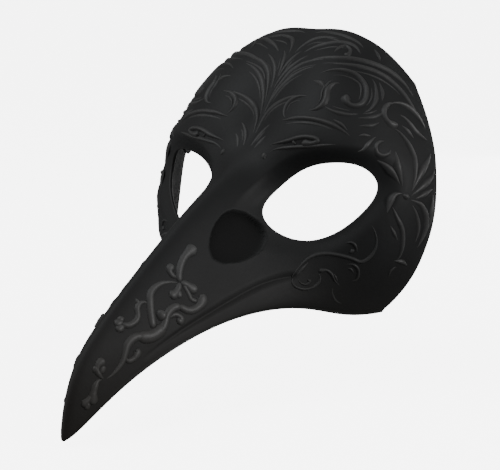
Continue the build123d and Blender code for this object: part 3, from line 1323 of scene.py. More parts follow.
def stroke_tree() -> Tree:
    """The tree that sweeps a bell shaped ridge along every stroke's rail.

    Returns:
        The tree.
    """
    tree = Tree(
        "raised_strokes",
        {
            "Profile points": ("Int", 14),
            "Foot depth": ("Float", 0.35 * MM),
            "Bell power": ("Float", 1.25),
            "Lightness": ("Float", 1.0),
            "Material": ("Material", None),
        },
    )
    inputs, vector = tree.input, "FLOAT_VECTOR"
    rails = tree.node("GeometryNodeMeshToCurve", None, Mesh=inputs["Geometry"]).outputs["Curve"]
    spot = tree.node("GeometryNodeInputPosition").outputs["Position"]
    rails = tree.store(rails, "rail", spot, vector)
    # The profile is a small ring: its upper half becomes the ridge, its lower half the foot.
    count = inputs["Profile points"]
    ring = tree.node("GeometryNodeCurvePrimitiveCircle", {"mode": "RADIUS"}, Resolution=count, Radius=1.0)
    turn = tree.math("DIVIDE", tree.node("GeometryNodeInputIndex").outputs["Index"], count)
    turn = tree.math("MULTIPLY", turn, math.tau)
    profile = tree.store(ring.outputs["Curve"], "across", tree.math("COSINE", turn))
    profile = tree.store(profile, "over", tree.math("GREATER_THAN", tree.math("SINE", turn), -0.01))
    profile = tree.node("GeometryNodeTransform", None, Geometry=profile, Scale=(MM / 2, MM / 2, MM / 2))
    ends = {"Curve": rails, "Profile_Curve": profile.outputs["Geometry"], "Fill_Caps": True}
    swept = tree.node("GeometryNodeCurveToMesh", None, **ends).outputs["Mesh"]
    across, over = tree.named("across"), tree.named("over")
    bell = tree.math("SUBTRACT", 1.0, tree.math("MULTIPLY", across, across))
    bell = tree.math("POWER", tree.math("MAXIMUM", bell, 0.0), inputs["Bell power"])
    bell = tree.math("MULTIPLY", bell, over)
    rise = tree.math("SUBTRACT", tree.math("MULTIPLY", bell, tree.named("crest")), inputs["Foot depth"])
    under = tree.math("MULTIPLY", tree.math("SUBTRACT", 1.0, over), inputs["Foot depth"])
    rise = tree.math("SUBTRACT", rise, under)
    beside = tree.math("MULTIPLY", across, tree.named("half_width"))
    place = tree.along(tree.named("rail", vector), tree.named("side", vector), beside)
    place = tree.along(place, tree.named("skin_normal", vector), rise)
    laid = tree.node("GeometryNodeSetPosition", None, Geometry=swept, Position=place).outputs["Geometry"]
    # raised lightens each crest in the plastic, scaled by Lightness: rubbed wear plus a painted highlight.
    laid = tree.store(laid, "raised", tree.math("MULTIPLY", bell, inputs["Lightness"]))
    smooth = tree.node("GeometryNodeSetShadeSmooth", None, Geometry=laid).outputs["Geometry"]
    tree.finish(smooth, inputs["Material"])
    return tree


@dataclass
class Scrollwork:
    """Raised strokes of one region, on both sides of the mask."""

    name: str
    strokes: list[Stroke]
    # lightness: how much the crests are lightened, rubbed wear plus a painted highlight.
    lightness: float = 1.0
    power: float = 1.25
    spacing: float = 0.9 * MM
    profile: int = 14

    def build(self, tree: Tree, shell: "Moulding", plastic: bpy.types.Material) -> bpy.types.Object:
        """Sweep the strokes.

        Args:
            tree: The tree that sweeps them.
            shell: The moulding they lie on.
            plastic: What they are made of.

        Returns:
            The finished piece.
        """
        fields = {"rail": [], "side": [], "normal": [], "half": [], "crest": []}
        edges = []
        total = 0
        for stroke in self.strokes:
            for side in (1, -1):
                laid = stroke.on(shell.form, side, self.spacing)
                rail = shell.skin(laid["u"], laid["v"])
                laid["rail"] = rail
                laid["side"] = unit(np.cross(np.gradient(rail, axis=0), laid["normal"]))
                for key in fields:
                    fields[key].append(laid[key])
                count = len(rail)
                edges += [(total + k, total + k + 1) for k in range(count - 1)]
                total += count
        rails = bpy.data.meshes.new(self.name + "_rails")
        rails.from_pydata(np.concatenate(fields["rail"]).tolist(), edges, [])
        named = {"side": "side", "skin_normal": "normal", "half_width": "half", "crest": "crest"}
        for name, key in named.items():
            values = np.concatenate(fields[key])
            kind, slot = ("FLOAT", "value") if values.ndim == 1 else ("FLOAT_VECTOR", "vector")
            rails.attributes.new(name, kind, "POINT").data.foreach_set(slot, values.ravel())
        inputs = {"Profile points": self.profile, "Bell power": self.power}
        inputs |= {"Lightness": self.lightness, "Material": plastic}
        return tree.run(self.name, rails, inputs)


# ------------------------------------------------------------------ ornament
@dataclass
class Ornament:
    """The scrollwork's strokes, region by region. Each is width, height, path, then its ends and swell."""

    vine_spread: float = 1.65
    half_across: float = 125.0
    half_down: float = 200.0
    echo_gap: float = 3.1
    echo_least: float = 3.8

    def echoed(self, strokes: list[Stroke]) -> list[Stroke]:
        """Add a finer strand beside each broad one, inside its bend.

        Args:
            strokes: The main strands.

        Returns:
            The main strands and their finer ones.
        """
        scale = np.array([self.half_across, self.half_down])
        finer = []
        for stroke in strokes:
            if stroke.width < self.echo_least or len(stroke.path) < 4:
                continue
            rail = stroke.places(9) * scale
            ahead = np.gradient(rail, axis=0)
            beside = unit(np.stack([-ahead[:, 1], ahead[:, 0]], 1))
            bend = np.sign((ahead[:-1, 0] * ahead[1:, 1] - ahead[:-1, 1] * ahead[1:, 0]).sum()) or 1.0
            path = (rail + beside * bend * self.echo_gap) / scale
            path = [(float(u), float(v)) for u, v in path[1:-1] if u > 0.02 and v > 0.012]
            if len(path) > 3:
                finer.append(Stroke(path, 0.55 * stroke.width, 0.6 * stroke.height, swell=0.5))
        return strokes + finer

    def forehead(self) -> Scrollwork:
        """Long strands that sweep up from the bridge and curl into a scroll over each brow.

        Returns:
            The region's scrollwork.
        """
        blob = End.BLOB
        strokes = [
            drawn(5.4, 1.4, (12, 370), (20, 330), (35, 290), (75, 257), (155, 230), (260, 212),
                (350, 205), swell=0.5),
            drawn(5.6, 1.4, (12, 290), (30, 240), (60, 200), (105, 168), (166, 143), (250, 124),
                (340, 112), swell=0.5),
            drawn(5.2, 1.4, (16, 245), (36, 195), (66, 160), (110, 130), (190, 109), (300, 96), (430, 84),
                swell=0.5),
            drawn(4.5, 1.1, (10, 190), (30, 150), (70, 118), (140, 95), (220, 80)),
            drawn(4.3, 1.1, (0, 150), (18, 110), (50, 82), (100, 65)),
            drawn(5.0, 1.5, (190, 106), (330, 90), (430, 81), (550, 66), (660, 54), (780, 45), (880, 46),
                (940, 62), swell=0.25),
            drawn(4.5, 1.3, (400, 100), (490, 92), (583, 80), (685, 70), (790, 68), (870, 77), (925, 100),
                (955, 130), swell=0.25),
            drawn(4.3, 1.7, (377, 133), (446, 116), (522, 106), (593, 106), (650, 122), (672, 150),
                (662, 182), (625, 198), (590, 190), (582, 170), end=blob, swell=0.25),
            drawn(5.2, 1.8, (530, 143), (495, 152), (478, 174), (490, 200), (487, 225), (458, 246),
                (420, 250), swell=0.35),
            drawn(4.3, 1.4, (360, 155), (423, 158), (475, 176)),
            drawn(3.9, 1.3, (660, 92), (700, 108), (722, 144), (710, 182), (680, 213)),
            drawn(3.5, 1.1, (710, 90), (745, 115), (752, 145)),
            drawn(3.9, 1.3, (490, 225), (530, 234), (575, 238), (625, 232), (672, 215)),
            drawn(4.5, 1.2, (110, 78), (180, 62), (264, 50), (344, 40), (428, 35), (500, 38), (560, 52),
                swell=0.3),
            drawn(3.2, 1.2, (385, 70), (395, 53), (430, 44), (475, 50), (482, 63), (454, 67), end=blob,
                swell=0.3),
            drawn(4.3, 1.0, (20, 20), (100, 14), (240, 17), (387, 20), (490, 24), (560, 34), swell=0.3),
            drawn(4.1, 1.1, (20, 80), (50, 55), (110, 36), (225, 30), (360, 30), swell=0.4),
            drawn(3.7, 1.0, (600, 18), (650, 26), (690, 40)),
            drawn(4.3, 1.5, (385, 204), (312, 211), (262, 228), (246, 252), (258, 275), (290, 293),
                swell=0.4),
            drawn(4.1, 1.5, (250, 302), (300, 297), (360, 288), (450, 281), (533, 282), (600, 291),
                (670, 312), swell=0.25),
            drawn(2.8, 0.8, (270, 318), (360, 306), (450, 299), (540, 300), (600, 310), swell=0.4),
            drawn(3.2, 1.2, (560, 264), (610, 276), (650, 294)),
            drawn(3.9, 1.2, (660, 236), (717, 216), (752, 193), (782, 162)),
            drawn(3.7, 1.2, (680, 262), (733, 243), (768, 214)),
            drawn(3.7, 1.5, (240, 398), (290, 389), (340, 380), (385, 370), (420, 359), (465, 350),
                (513, 349), (532, 357), (505, 370), (455, 373), end=blob, swell=0.3),
            drawn(2.8, 1.2, (405, 362), (410, 374), (432, 383)),
            drawn(3.0, 1.1, (255, 430), (316, 407), (408, 393), (500, 381), (569, 367), (630, 353),
                swell=0.3),
            drawn(2.8, 1.1, (235, 425), (250, 440), (270, 447), start=blob),
            drawn(4.3, 1.0, (40, 420), (75, 370), (120, 335), (170, 312)),
            drawn(3.7, 0.8, (100, 425), (140, 385), (185, 360)),
        ]
        return Scrollwork("forehead_scrollwork", self.echoed(strokes), lightness=0.7, power=1.9, profile=18)

    def temple(self) -> Scrollwork:
        """Leaf blades that burst from a hub beside the eye, under a small scroll.

        Returns:
            The region's scrollwork.
        """
        blob, rounded = End.BLOB, End.ROUND
        strokes = [
            drawn(4.6, 1.8, (817, 123), (785, 140), (771, 166), (784, 191), (812, 203), (842, 196),
                end=blob, swell=0.3),
            drawn(4.9, 1.6, (796, 130), (845, 113), (900, 106), (945, 115), (972, 140), swell=0.4),
            drawn(4.6, 1.4, (840, 150), (872, 152), (900, 163), (930, 180), (975, 190), swell=0.4),
            drawn(4.1, 1.3, (855, 185), (885, 195), (915, 215)),
            drawn(5.1, 2.0, (822, 214), (850, 218), (882, 241), (905, 272), (924, 325), (927, 400),
                (915, 478), swell=0.35),
            drawn(6.5, 2.0, (980, 246), (970, 300), (956, 350), (933, 425), (912, 485), swell=0.45),
            drawn(5.7, 1.8, (992, 345), (980, 400), (958, 440), (935, 472), (910, 502), swell=0.45),
            drawn(5.9, 2.0, (852, 308), (866, 360), (878, 414), (885, 467), swell=0.45),
            drawn(5.4, 1.7, (790, 372), (832, 387), (860, 415), (880, 462), swell=0.5),
            drawn(3.2, 1.4, (806, 282), (785, 298), (777, 320), (786, 343), (808, 350), (830, 334),
                (836, 308), swell=0.2),
            drawn(3.5, 1.3, (770, 275), (755, 300), (743, 326), (730, 350), (706, 366)),
            drawn(3.2, 1.2, (695, 300), (720, 290), (750, 283)),
            drawn(6.2, 2.2, (884, 500), (906, 509), start=rounded, end=rounded),
            drawn(5.4, 1.8, (885, 492), (860, 505), (846, 537), (838, 578), swell=0.45),
            drawn(6.2, 2.0, (908, 515), (930, 523), (950, 540), (968, 588), (973, 650), (962, 722),
                swell=0.4),
            drawn(4.1, 1.4, (915, 530), (935, 575), (950, 635), (950, 700)),
            drawn(5.4, 1.6, (985, 478), (985, 540), (984, 600), (980, 655)),
            drawn(4.6, 1.6, (925, 512), (950, 492), (985, 458)),
            drawn(4.3, 1.8, (850, 545), (873, 589), (897, 636), (910, 697), (914, 745), (908, 768),
                swell=0.3),
            drawn(3.8, 1.6, (900, 762), (931, 772), (957, 797)),
            drawn(3.2, 1.3, (855, 618), (875, 651), (892, 681)),
        ]
        return Scrollwork("temple_scrollwork", strokes, lightness=1.1, power=2.2, profile=18)

    def cheek(self) -> Scrollwork:
        """A long line that sweeps from a comma to the corner of the crease, with small scrolls under it.

        Returns:
            The region's scrollwork.
        """
        blob = End.BLOB
        strokes = [
            drawn(3.0, 1.3, (785, 608), (812, 645), (828, 690), (827, 730), (815, 757), (798, 764),
                (771, 752), (736, 741), (694, 733), (660, 735), (635, 749), (622, 775), (617, 805),
                (618, 832), swell=0.3),
            drawn(2.4, 1.3, (725, 690), (752, 690), (769, 707), (778, 733)),
            drawn(2.0, 1.1, (764, 714), (755, 731), start=blob, end=End.ROUND),
            drawn(2.4, 1.1, (622, 830), (628, 853), (649, 876), (679, 889), (702, 880), (710, 857),
                (700, 829), (686, 813), swell=0.2),
            drawn(2.0, 1.0, (632, 832), (655, 858), (675, 867), (680, 853), (667, 843), end=blob),
            drawn(2.4, 1.0, (640, 760), (633, 790), (628, 825)),
            drawn(2.4, 1.1, (685, 806), (707, 801), (731, 818), (756, 849), (788, 876), start=blob),
            drawn(2.0, 0.9, (733, 811), (756, 840), (770, 858)),
            drawn(2.4, 1.1, (755, 777), (779, 775), (803, 793), (817, 822), (819, 843), (803, 850),
                swell=0.3),
            drawn(2.0, 0.9, (765, 790), (784, 797), (802, 816)),
            drawn(2.4, 0.9, (922, 788), (908, 809), (918, 847)),
            drawn(2.4, 0.7, (755, 860), (779, 909), (819, 945), (867, 962), swell=0.4),
        ]
        return Scrollwork("cheek_scrollwork", strokes, lightness=0.55, power=1.9, profile=18)

    def beak(self) -> Scrollwork:
        """A vine with side curls and small leaves along each flank of the beak.

        Returns:
            The region's scrollwork.
        """
        blob, rounded = End.BLOB, End.ROUND
        vine = [
            drawn(2.8, 1.5, (236, 703), (224, 714), (219, 730), (231, 750), (252, 772), (277, 792),
                start=blob, end=rounded, swell=0.3),
            drawn(2.0, 1.4, (257, 779), (231, 774), (203, 764), (191, 755), (205, 752), end=blob,
                swell=0.3),
            drawn(3.0, 1.5, (280, 793), (240, 789), (206, 792), (190, 803), (196, 817), (227, 840),
                (262, 868), (291, 893), (310, 912), end=rounded, swell=0.6),
            drawn(2.6, 1.5, (276, 791), (307, 801), (337, 816), (357, 821), start=rounded, end=blob,
                swell=0.3),
            drawn(2.3, 1.4, (276, 792), (289, 809), (291, 824), (277, 828), start=rounded, end=blob,
                swell=0.3),
            drawn(2.0, 1.2, (289, 811), (308, 828), (326, 838), end=blob, swell=0.3),
            drawn(1.8, 1.1, (290, 796), (313, 811), (341, 833), (365, 855), (390, 868), start=rounded,
                end=rounded, swell=0.3),
            drawn(2.8, 1.6, (380, 843), (398, 862), (408, 885), (400, 897), (380, 891), (357, 877),
                (338, 868), start=blob, end=rounded, swell=0.3),
            drawn(3.0, 1.8, (352, 874), (332, 867), (322, 873), (324, 886), (334, 903), (342, 918),
                (338, 928), (320, 931), start=rounded, end=rounded, swell=0.3),
            drawn(4.2, 1.9, (343, 915), (337, 927), (322, 930), (298, 924), (272, 917), start=rounded,
                end=rounded, swell=0.3),
            drawn(3.0, 1.6, (300, 924), (270, 916), (256, 919), (254, 927), (260, 937), (267, 949),
                (267, 957), (257, 963), (240, 965), (218, 963), start=rounded, swell=0.7),
            drawn(3.0, 1.9, (328, 893), (312, 884), (298, 874), (292, 865), end=blob, swell=0.3),
            drawn(2.0, 1.4, (335, 898), (349, 892), (370, 904), (386, 919), (376, 921), end=blob,
                swell=0.3),
            drawn(2.2, 1.4, (222, 840), (197, 834), (180, 836), (184, 846), (210, 862), (222, 875),
                (210, 882), (187, 880), (160, 873), end=rounded, swell=0.3),
            drawn(2.0, 1.4, (186, 880), (172, 885), (180, 893), end=blob, swell=0.3),
            drawn(2.0, 1.4, (177, 877), (150, 873), (135, 878), end=blob, swell=0.3),
            drawn(2.0, 1.4, (166, 873), (140, 866), (120, 860), end=blob, swell=0.3),
            drawn(2.0, 1.4, (265, 944), (285, 957), (304, 960), (307, 952), (293, 944), end=blob,
                swell=0.3),
            drawn(2.0, 1.4, (223, 964), (195, 954), (172, 945), (170, 938), (190, 935), end=blob,
                swell=0.3),
            drawn(1.8, 1.2, (194, 953), (197, 947), (188, 941), end=blob, swell=0.3),
            drawn(1.8, 1.2, (182, 948), (160, 942), (148, 938), end=blob, swell=0.3),
            drawn(2.4, 1.4, (218, 963), (198, 961), (193, 967), (196, 976), (205, 985), end=blob,
                swell=0.4),
            drawn(1.8, 1.2, (194, 972), (180, 975), (163, 977), (145, 977), end=blob, swell=0.3),
            drawn(1.6, 1.1, (178, 977), (178, 981), (166, 982), end=blob, swell=0.3),
            drawn(1.8, 0.9, (132, 824), (163, 832), (185, 841), swell=0.5),
        ]
        strokes = [replace(stroke, width=self.vine_spread * stroke.width) for stroke in vine]
        return Scrollwork("beak_vine", strokes, lightness=0.85, power=0.75, spacing=0.6 * MM)


# ------------------------------------------------------------------ fittings
def loose_parts(node: str) -> list[np.ndarray]:
    """Points of each loose part of a CAD node.

    Args:
        node: The node's name.

    Returns:
        One array of points for each part.
    """
    work = bmesh.new()
    work.from_mesh(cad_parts[node].data)
    bmesh.ops.remove_doubles(work, verts=work.verts, dist=MERGE)
    todo = set(work.verts)
    parts = []
    while todo:
        start = min(todo, key=lambda vert: vert.index)
        group, queue = {start}, [start]
        while queue:
            for edge in queue.pop().link_edges:
                for vert in edge.verts:
                    if vert not in group:
                        group.add(vert)
                        queue.append(vert)
        todo -= group
        parts.append(np.array([vert.co[:] for vert in sorted(group, key=lambda vert: vert.index)]))
    work.free()
    return parts


def lathe(rings: list[tuple[float, float]], segments: int) -> tuple[np.ndarray, list]:
    """A closed turned shape about Z.

    Args:
        rings: Radius and height of each ring, from one end to the other. A radius of 0 closes an end.
        segments: How many sides it has.

    Returns:
        Its points and faces.
    """
    turn = np.arange(segments) / segments * math.tau
    points = []
    starts = []
    for radius, height in rings:
        starts.append(len(points))
        if radius == 0:
            points.append((0.0, 0.0, height))
        else:
            points += [(radius * math.cos(t), radius * math.sin(t), height) for t in turn]
    faces = []
    for (low, a), (high, b) in zip(zip(rings, starts), zip(rings[1:], starts[1:])):
        for k in range(segments):
            n = (k + 1) % segments
            if low[0] == 0:
                faces.append((a, b + k, b + n))
            elif high[0] == 0:
                faces.append((a + k, b, a + n))
            else:
                faces.append((a + k, b + k, b + n, a + n))
    return np.array(points), faces


@dataclass
class Fittings:
    """Screws, the bosses they go into and the strap anchors they hold."""

    plastic: bpy.types.Material
    steel: bpy.types.Material
    plate: float = 2.4 * MM
    shank_radius: float = 1.1 * MM
    shank_length: float = 6.0 * MM
    point_length: float = 0.8 * MM
    head_radius: float = 2.4 * MM
    head_height: float = 1.7 * MM
    thread_pitch: float = 0.8 * MM
    thread_depth: float = 0.28 * MM
    recess_length: float = 2.6 * MM
    recess_width: float = 0.62 * MM
    recess_depth: float = 1.0 * MM
    break_edge: float = 0.12 * MM
    dome_steps: int = 7
    shank_steps: int = 54
    screw_sides: int = 32
    boss_radius: float = 3.5 * MM
    boss_length: float = 5.2 * MM
    boss_flare: float = 0.9 * MM
    boss_chamfer: float = 0.25 * MM
    boss_sides: int = 40
    bore_depth: float = 4.2 * MM
    bore_gap: float = 0.1 * MM
    bevel: float = 0.35 * MM

    def __post_init__(self) -> None:
        """Find the seat and the axis of each screw."""
        self.seats = []
        for points in loose_parts("anchor_screws"):
            middle = points.mean(0)
            axis = np.linalg.svd(points - middle)[2][0]
            along = (points - middle) @ axis
            off = np.linalg.norm(points - middle - along[:, None] * axis, axis=1)
            if along[off.argmax()] < 0:
                axis = -axis
            centre = points[off > 0.9 * self.head_radius].mean(0)
            top = ((points - centre) @ axis).max()
            self.seats.append((centre + axis * (top - self.head_height), axis))

    def points(self) -> bpy.types.Mesh:
        """A mesh of seat points, with each screw's axis.

        Returns:
            The mesh.
        """
        mesh = bpy.data.meshes.new("screw_seats")
        mesh.from_pydata([tuple(seat) for seat, _ in self.seats], [], [])
        data = mesh.attributes.new("axis", "FLOAT_VECTOR", "POINT").data
        data.foreach_set("vector", np.array([axis for _, axis in self.seats]).ravel())
        return mesh

    def seated(self, name: str, form: bpy.types.Object, material: bpy.types.Material) -> bpy.types.Object:
        """Set one form on every seat, turned to its axis.

        Args:
            name: Name of the piece that comes out.
            form: The form, which is used up.
            material: What the piece is made of.

        Returns:
            The finished piece.
        """
        inputs = {"Piece": ("Object", None), "Scale": ("Float", 1.0), "Material": ("Material", None)}
        tree = Tree(name + "_on_seats", inputs)
        piece = tree.node("GeometryNodeObjectInfo", None, Object=tree.input["Piece"]).outputs["Geometry"]
        axis = tree.named("axis", "FLOAT_VECTOR")
        turn = tree.node("FunctionNodeAlignRotationToVector", {"axis": "Z"}, Vector=axis)
        cloud = tree.node("GeometryNodeMeshToPoints", None, Mesh=tree.input["Geometry"]).outputs["Points"]
        laid = tree.node(
            "GeometryNodeInstanceOnPoints", None, Points=cloud, Instance=piece,
            Rotation=turn.outputs["Rotation"], Scale=tree.input["Scale"],
        )
        tree.finish(laid.outputs["Instances"], tree.input["Material"])
        made = tree.run(name, self.points(), {"Piece": form, "Scale": 1.0, "Material": material})
        bpy.data.objects.remove(form)
        return made

    def recess(self) -> bpy.types.Object:
        """The cross that is cut out of a screw's head.

        Returns:
            Its form.
        """
        points, faces = [], []
        floor = self.head_height - self.recess_depth
        for turned in (0.0, math.pi / 2):
            start = len(points)
            for height, share in ((floor, 0.45), (self.head_height + MM, 1.3)):
                for x, y in ((-1, -1), (1, -1), (1, 1), (-1, 1)):
                    px = x * self.recess_length / 2 * share
                    py = y * self.recess_width / 2 * (0.55 + 0.45 * share)
                    spin_x = px * math.cos(turned) - py * math.sin(turned)
                    spin_y = px * math.sin(turned) + py * math.cos(turned)
                    points.append((spin_x, spin_y, height))
            for face in ((0, 3, 2, 1), (4, 5, 6, 7), (0, 1, 5, 4), (1, 2, 6, 5), (2, 3, 7, 6), (3, 0, 4, 7)):
                faces.append(tuple(start + corner for corner in face))
        mesh = bpy.data.meshes.new("recess_form")
        mesh.from_pydata(points, [], faces)
        return add_object("recess_form", mesh, self.steel)

    def screw(self) -> bpy.types.Object:
        """One pan head screw with a cross recess and a thread, its seat at the origin.

        Returns:
            Its form.
        """
        head = [(0.0, self.head_height)]
        for k in range(1, self.dome_steps + 1):
            t = k / self.dome_steps * math.pi / 2
            height = self.head_height * (0.45 + 0.55 * math.cos(t))
            head.append((self.head_radius * math.sin(t) ** 0.8, height))
        head += [(self.head_radius, self.break_edge), (self.head_radius - self.break_edge, 0.0)]
        head.append((self.shank_radius, 0.0))
        steps = self.shank_steps
        rings = head + [(self.shank_radius, -self.shank_length * (k + 1) / (steps + 1)) for k in range(steps)]
        rings.append((0.0, -self.shank_length))
        points, faces = lathe(rings, self.screw_sides)
        first = 1 + (len(head) - 1) * self.screw_sides
        shank = points[first:-1]
        depth = -shank[:, 2]
        turn = np.arctan2(shank[:, 1], shank[:, 0]) / math.tau
        phase = (depth / self.thread_pitch + turn) % 1.0
        cut = self.thread_depth * (1 - np.clip(1 - np.abs(phase - 0.5) / 0.28, 0, 1))
        cut = cut * smooth_step(depth / self.thread_pitch)
        taper = np.clip((self.shank_length - depth) / self.point_length, 0.15, 1.0)
        radius = (self.shank_radius - cut) * taper
        shank[:, :2] *= (radius / np.hypot(shank[:, 0], shank[:, 1]))[:, None]
        points[first:-1] = shank
        mesh = mesh_from("screw_form", points, faces)
        outward(mesh)
        body = add_object("screw_form", mesh, self.steel)
        cutter = self.recess()
        cross = body.modifiers.new("recess", "BOOLEAN")
        cross.object, cross.operation, cross.solver, cross.use_self = cutter, "DIFFERENCE", "EXACT", True
        done = evaluated(body)
        body.modifiers.clear()
        bpy.data.objects.remove(cutter)
        body.data = done
        return body

    def screws(self) -> bpy.types.Object:
        """All four screws as one piece."""
        return self.seated("pan_screws", self.screw(), self.steel)

    def bosses(self) -> bpy.types.Object:
        """The four blind bosses as one piece, their tops under the anchor plates.

        Returns:
            The finished piece.
        """
        top, chamfer = -self.plate, self.boss_chamfer
        bore, floor = self.shank_radius + self.bore_gap, top - self.bore_depth
        r, flare, end = self.boss_radius, self.boss_flare, top - self.boss_length
        rings = [(0.0, floor), (bore, floor), (bore, top - chamfer), (bore + chamfer, top)]
        rings += [(r - chamfer, top), (r - 0.07 * MM, top - 0.07 * MM), (r, top - chamfer)]
        root = top - self.boss_length + 2.6 * MM
        for k in range(6):
            t = k / 5 * math.pi / 2
            rings.append((r + flare * (1 - math.cos(t)), root - flare * math.sin(t)))
        rings += [(r + flare, end), (0.0, end)]
        points, faces = lathe(rings, self.boss_sides)
        mesh = mesh_from("boss_form", points, faces)
        outward(mesh)
        return self.seated("screw_bosses", add_object("boss_form", mesh, self.plastic), self.plastic)

    def anchor(self, node: str) -> bpy.types.Object:
        """A strap anchor plate with softened edges, from its CAD form.

        Args:
            node: Its CAD node.

        Returns:
            The finished piece.
        """
        name = node + "_plate"
        mesh = merged(node, name)
        work = bmesh.new()
        work.from_mesh(mesh)
        bmesh.ops.dissolve_limit(work, angle_limit=math.radians(1), verts=work.verts, edges=work.edges)
        work.to_mesh(mesh)
        work.free()
        plate = add_object(name, mesh, self.plastic)
        soft = plate.modifiers.new("edges", "BEVEL")
        soft.width, soft.segments = self.bevel, 3
        soft.limit_method, soft.angle_limit = "ANGLE", math.radians(40)
        done = evaluated(plate)
        plate.modifiers.clear()
        plate.data = done
        done.name = name
        shade(done, 35)
        return plate


def shade(mesh: bpy.types.Mesh, degrees: float) -> None:
    """Smooth shading with sharp edges kept sharp.

    Args:
        mesh: The mesh.
        degrees: The angle from which an edge counts as sharp.
    """
    work = bmesh.new()
    work.from_mesh(mesh)
    for edge in work.edges:
        edge.smooth = len(edge.link_faces) == 2 and edge.calc_face_angle(0.0) < math.radians(degrees)
    for face in work.faces:
        face.smooth = True
    work.to_mesh(mesh)
    work.free()


# ------------------------------------------------------------------ pads
@dataclass
class FoamPad:
    """A fabric covered foam pad that swells inside the space of its CAD solid."""

    node: str
    fabric: bpy.types.Material
    cell: float = 1.3 * MM
    shrink: float = 0.75 * MM
    cap: float = 0.95 * MM
    pressure: float = 4.0
    stiffness: float = 40.0
    frames: int = 20
    smooth_rounds: int = 3

    def build(self) -> bpy.types.Object:
        """Remesh, swell and smooth the pad.

        Returns:
            The finished piece.
        """
        pad = add_object(self.node + "_foam", merged(self.node, self.node + "_foam"), self.fabric)
        rough = pad.modifiers.new("cells", "REMESH")
        rough.mode, rough.voxel_size, rough.use_smooth_shade = "VOXEL", self.cell * 0.8, True
        self.apply(pad)
        work = bmesh.new()
        work.from_mesh(pad.data)
        for _ in range(self.smooth_rounds):
            bmesh.ops.smooth_vert(
                work, verts=work.verts, factor=0.5, use_axis_x=True, use_axis_y=True, use_axis_z=True
            )
        work.normal_update()
        for vert in work.verts:
            vert.co -= vert.normal * self.shrink
        work.to_mesh(pad.data)
        work.free()
        self.swell(pad)
        pad.data.materials.clear()
        pad.data.materials.append(self.fabric)
        finer = pad.modifiers.new("finer", "SUBSURF")
        finer.levels = finer.render_levels = 1
        self.apply(pad)
        outward(pad.data)
        shade(pad.data, 180)
        return pad

    def swell(self, pad: bpy.types.Object) -> None:
        """Blow the pad up as cloth, no further than the cap.

        Args:
            pad: The pad, shrunk inside its CAD solid.
        """
        before = np.array([vert.co[:] for vert in pad.data.vertices])
        cloth = pad.modifiers.new("swell", "CLOTH")
        settings = cloth.settings
        settings.use_pressure = True
        settings.uniform_pressure_force = self.pressure
        settings.effector_weights.gravity = 0.0
        settings.tension_stiffness = settings.compression_stiffness = self.stiffness
        cloth.point_cache.frame_start, cloth.point_cache.frame_end = 1, self.frames
        scene = bpy.context.scene
        for step in range(1, self.frames + 1):
            scene.frame_set(step)
        seen = pad.evaluated_get(bpy.context.evaluated_depsgraph_get())
        after = np.array([vert.co[:] for vert in seen.data.vertices])
        pad.modifiers.remove(cloth)
        scene.frame_set(1)
        move = after - before
        length = np.linalg.norm(move, axis=1, keepdims=True)
        move *= np.minimum(1.0, self.cap / np.maximum(length, 1e-9))
        pad.data.vertices.foreach_set("co", (before + move).ravel())
        pad.data.update()

    @staticmethod
    def apply(pad: bpy.types.Object) -> None:
        """Bake the modifiers into the mesh.

        Args:
            pad: The pad.
        """
        done = evaluated(pad)
        pad.modifiers.clear()
        done.name = pad.name
        pad.data = done


# ------------------------------------------------------------------ studio
@dataclass(frozen=True)
class SoftLight:
    """A square soft light: its place, side in metres, power in watts and colour."""

    name: str
    place: tuple[float, float, float]
    size: float
    power: float
    tint: tuple[float, float, float] = (1.0, 1.0, 1.0)


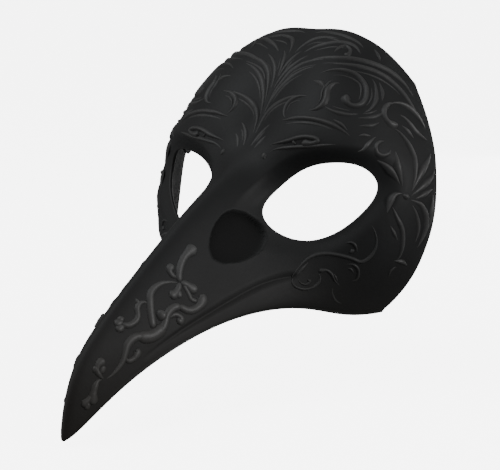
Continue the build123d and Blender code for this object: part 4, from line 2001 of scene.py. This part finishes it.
@dataclass
class Studio:
    """Floor, soft lights and camera."""

    floor_height: float
    azimuth: float = math.radians(35)
    elevation: float = math.radians(10)
    distance: float = 0.9
    aim_right: float = -0.535 * MM
    aim_up: float = -45.45 * MM
    lens: float = 121.2
    sensor: float = 36.0
    floor_reach: float = 14.0
    ambient: float = 0.24
    backdrop: float = 5.5
    target: Vector = field(default_factory=lambda: Vector((0.0, -0.03, -0.03)))
    lights: tuple[SoftLight, ...] = (
        SoftLight("key", (-0.35, -0.5, 1.15), 0.9, 8.0, (0.95, 0.98, 1.0)),
        SoftLight("side", (1.1, 0.15, 0.45), 0.25, 6.0),
        SoftLight("fill", (-0.9, -0.7, 0.3), 0.4, 2.5),
        SoftLight("inside", (0.0, 0.95, -0.1), 0.6, 5.0),
    )

    def camera(self) -> None:
        """Set the camera."""
        a, e = self.azimuth, self.elevation
        back = Vector((math.sin(a) * math.cos(e), -math.cos(a) * math.cos(e), math.sin(e)))
        right = Vector((math.cos(a), math.sin(a), 0.0))
        up = back.cross(right)
        data = bpy.data.cameras.new("camera")
        data.lens, data.sensor_width, data.sensor_fit = self.lens, self.sensor, "HORIZONTAL"
        data.clip_start, data.clip_end = 0.05, 40.0
        camera = bpy.data.objects.new("camera", data)
        bpy.context.scene.collection.objects.link(camera)
        camera.location = back * self.distance + right * self.aim_right + up * self.aim_up
        turned = Matrix((right, up, back)).transposed()
        camera.rotation_euler = turned.to_euler()
        bpy.context.scene.camera = camera

    def light(self, soft: SoftLight) -> None:
        """Add a square soft light that faces the mask.

        Args:
            soft: The light's name, place and power.
        """
        data = bpy.data.lights.new(soft.name, "AREA")
        data.shape, data.size, data.energy, data.color = "SQUARE", soft.size, soft.power, soft.tint
        light = bpy.data.objects.new(soft.name, data)
        bpy.context.scene.collection.objects.link(light)
        light.location = soft.place
        way = self.target - Vector(soft.place)
        light.rotation_euler = way.to_track_quat("-Z", "Y").to_euler()

    def build(self) -> None:
        """Make the whole studio."""
        reach = self.floor_reach
        corners = [(x * reach, y * reach, self.floor_height) for x, y in ((-1, -1), (1, -1), (1, 1), (-1, 1))]
        floor = mesh_from("studio_floor", np.array(corners), [(0, 1, 2, 3)])
        add_object("studio_floor", floor, StudioPaper().make())
        world = bpy.data.worlds.new("studio_world")
        world.use_nodes = True
        nodes, links = world.node_tree.nodes, world.node_tree.links
        path = nodes.new("ShaderNodeLightPath")
        power = nodes.new("ShaderNodeMapRange")
        power.inputs["To Min"].default_value = self.ambient
        power.inputs["To Max"].default_value = self.backdrop
        links.new(path.outputs["Is Camera Ray"], power.inputs["Value"])
        links.new(power.outputs["Result"], nodes["Background"].inputs["Strength"])
        nodes["Background"].inputs["Color"].default_value = (1.0, 1.0, 1.0, 1.0)
        bpy.context.scene.world = world
        for soft in self.lights:
            self.light(soft)
        self.camera()


def settle(piece: bpy.types.Object, finish: str, *nodes: str) -> None:
    """Ride a piece on the body, hide the CAD nodes it replaces and log its finish.

    Args:
        piece: The finished piece.
        finish: The name of its finish, which is only written to the log.
        *nodes: The CAD nodes it replaces.
    """
    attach(piece, ROOT)
    if nodes:
        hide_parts(*nodes)
    log.info("%s: %d faces, %s", piece.name, len(piece.data.polygons), finish)


def main() -> None:
    """Build every piece, then the studio."""
    logging.basicConfig(level=logging.INFO, format="%(name)s %(message)s")
    body = MouldedPlastic("shell_plastic_matte").make()
    # The vine's plastic is a lighter copy of the shell plastic: painted highlight on the vine, plus rubbed
    # wear on its crests.
    vine = MouldedPlastic("shell_plastic_worn", base=0.018, wear_and_highlight_tone=0.095, roughness=0.62).make()
    fitting = MouldedPlastic("anchor_plastic_black", 0.01, 0.02, roughness=0.42, warm_end=False).make()
    steel = ZincSteel().make()
    fabric = FoamFabric().make()

    low, high = [Vector(corner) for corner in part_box("mask_shell")]
    shell = Moulding(SkinForm(low, high))
    settle(shell.build(body), "shell_plastic", "mask_shell")

    tree = stroke_tree()
    ornament = Ornament()
    for work in (ornament.forehead(), ornament.temple(), ornament.cheek()):
        settle(work.build(tree, shell, body), "shell_plastic")
    settle(ornament.beak().build(tree, shell, vine), "shell_plastic")

    fittings = Fittings(fitting, steel)
    settle(fittings.screws(), "screw_steel", "anchor_screws")
    settle(fittings.bosses(), "shell_plastic")
    for side in ("left", "right"):
        settle(fittings.anchor("strap_anchor_" + side), "anchor_plastic", "strap_anchor_" + side)

    for node in ("forehead_pad", "nose_pad_left", "nose_pad_right", "cheek_pad_left", "cheek_pad_right"):
        pad = FoamPad(node, fabric).build()
        settle(pad, "pad_foam", node)

    Studio(cad_box[0][2] - 0.4 * MM).build()


if __name__ == "__main__":
    main()
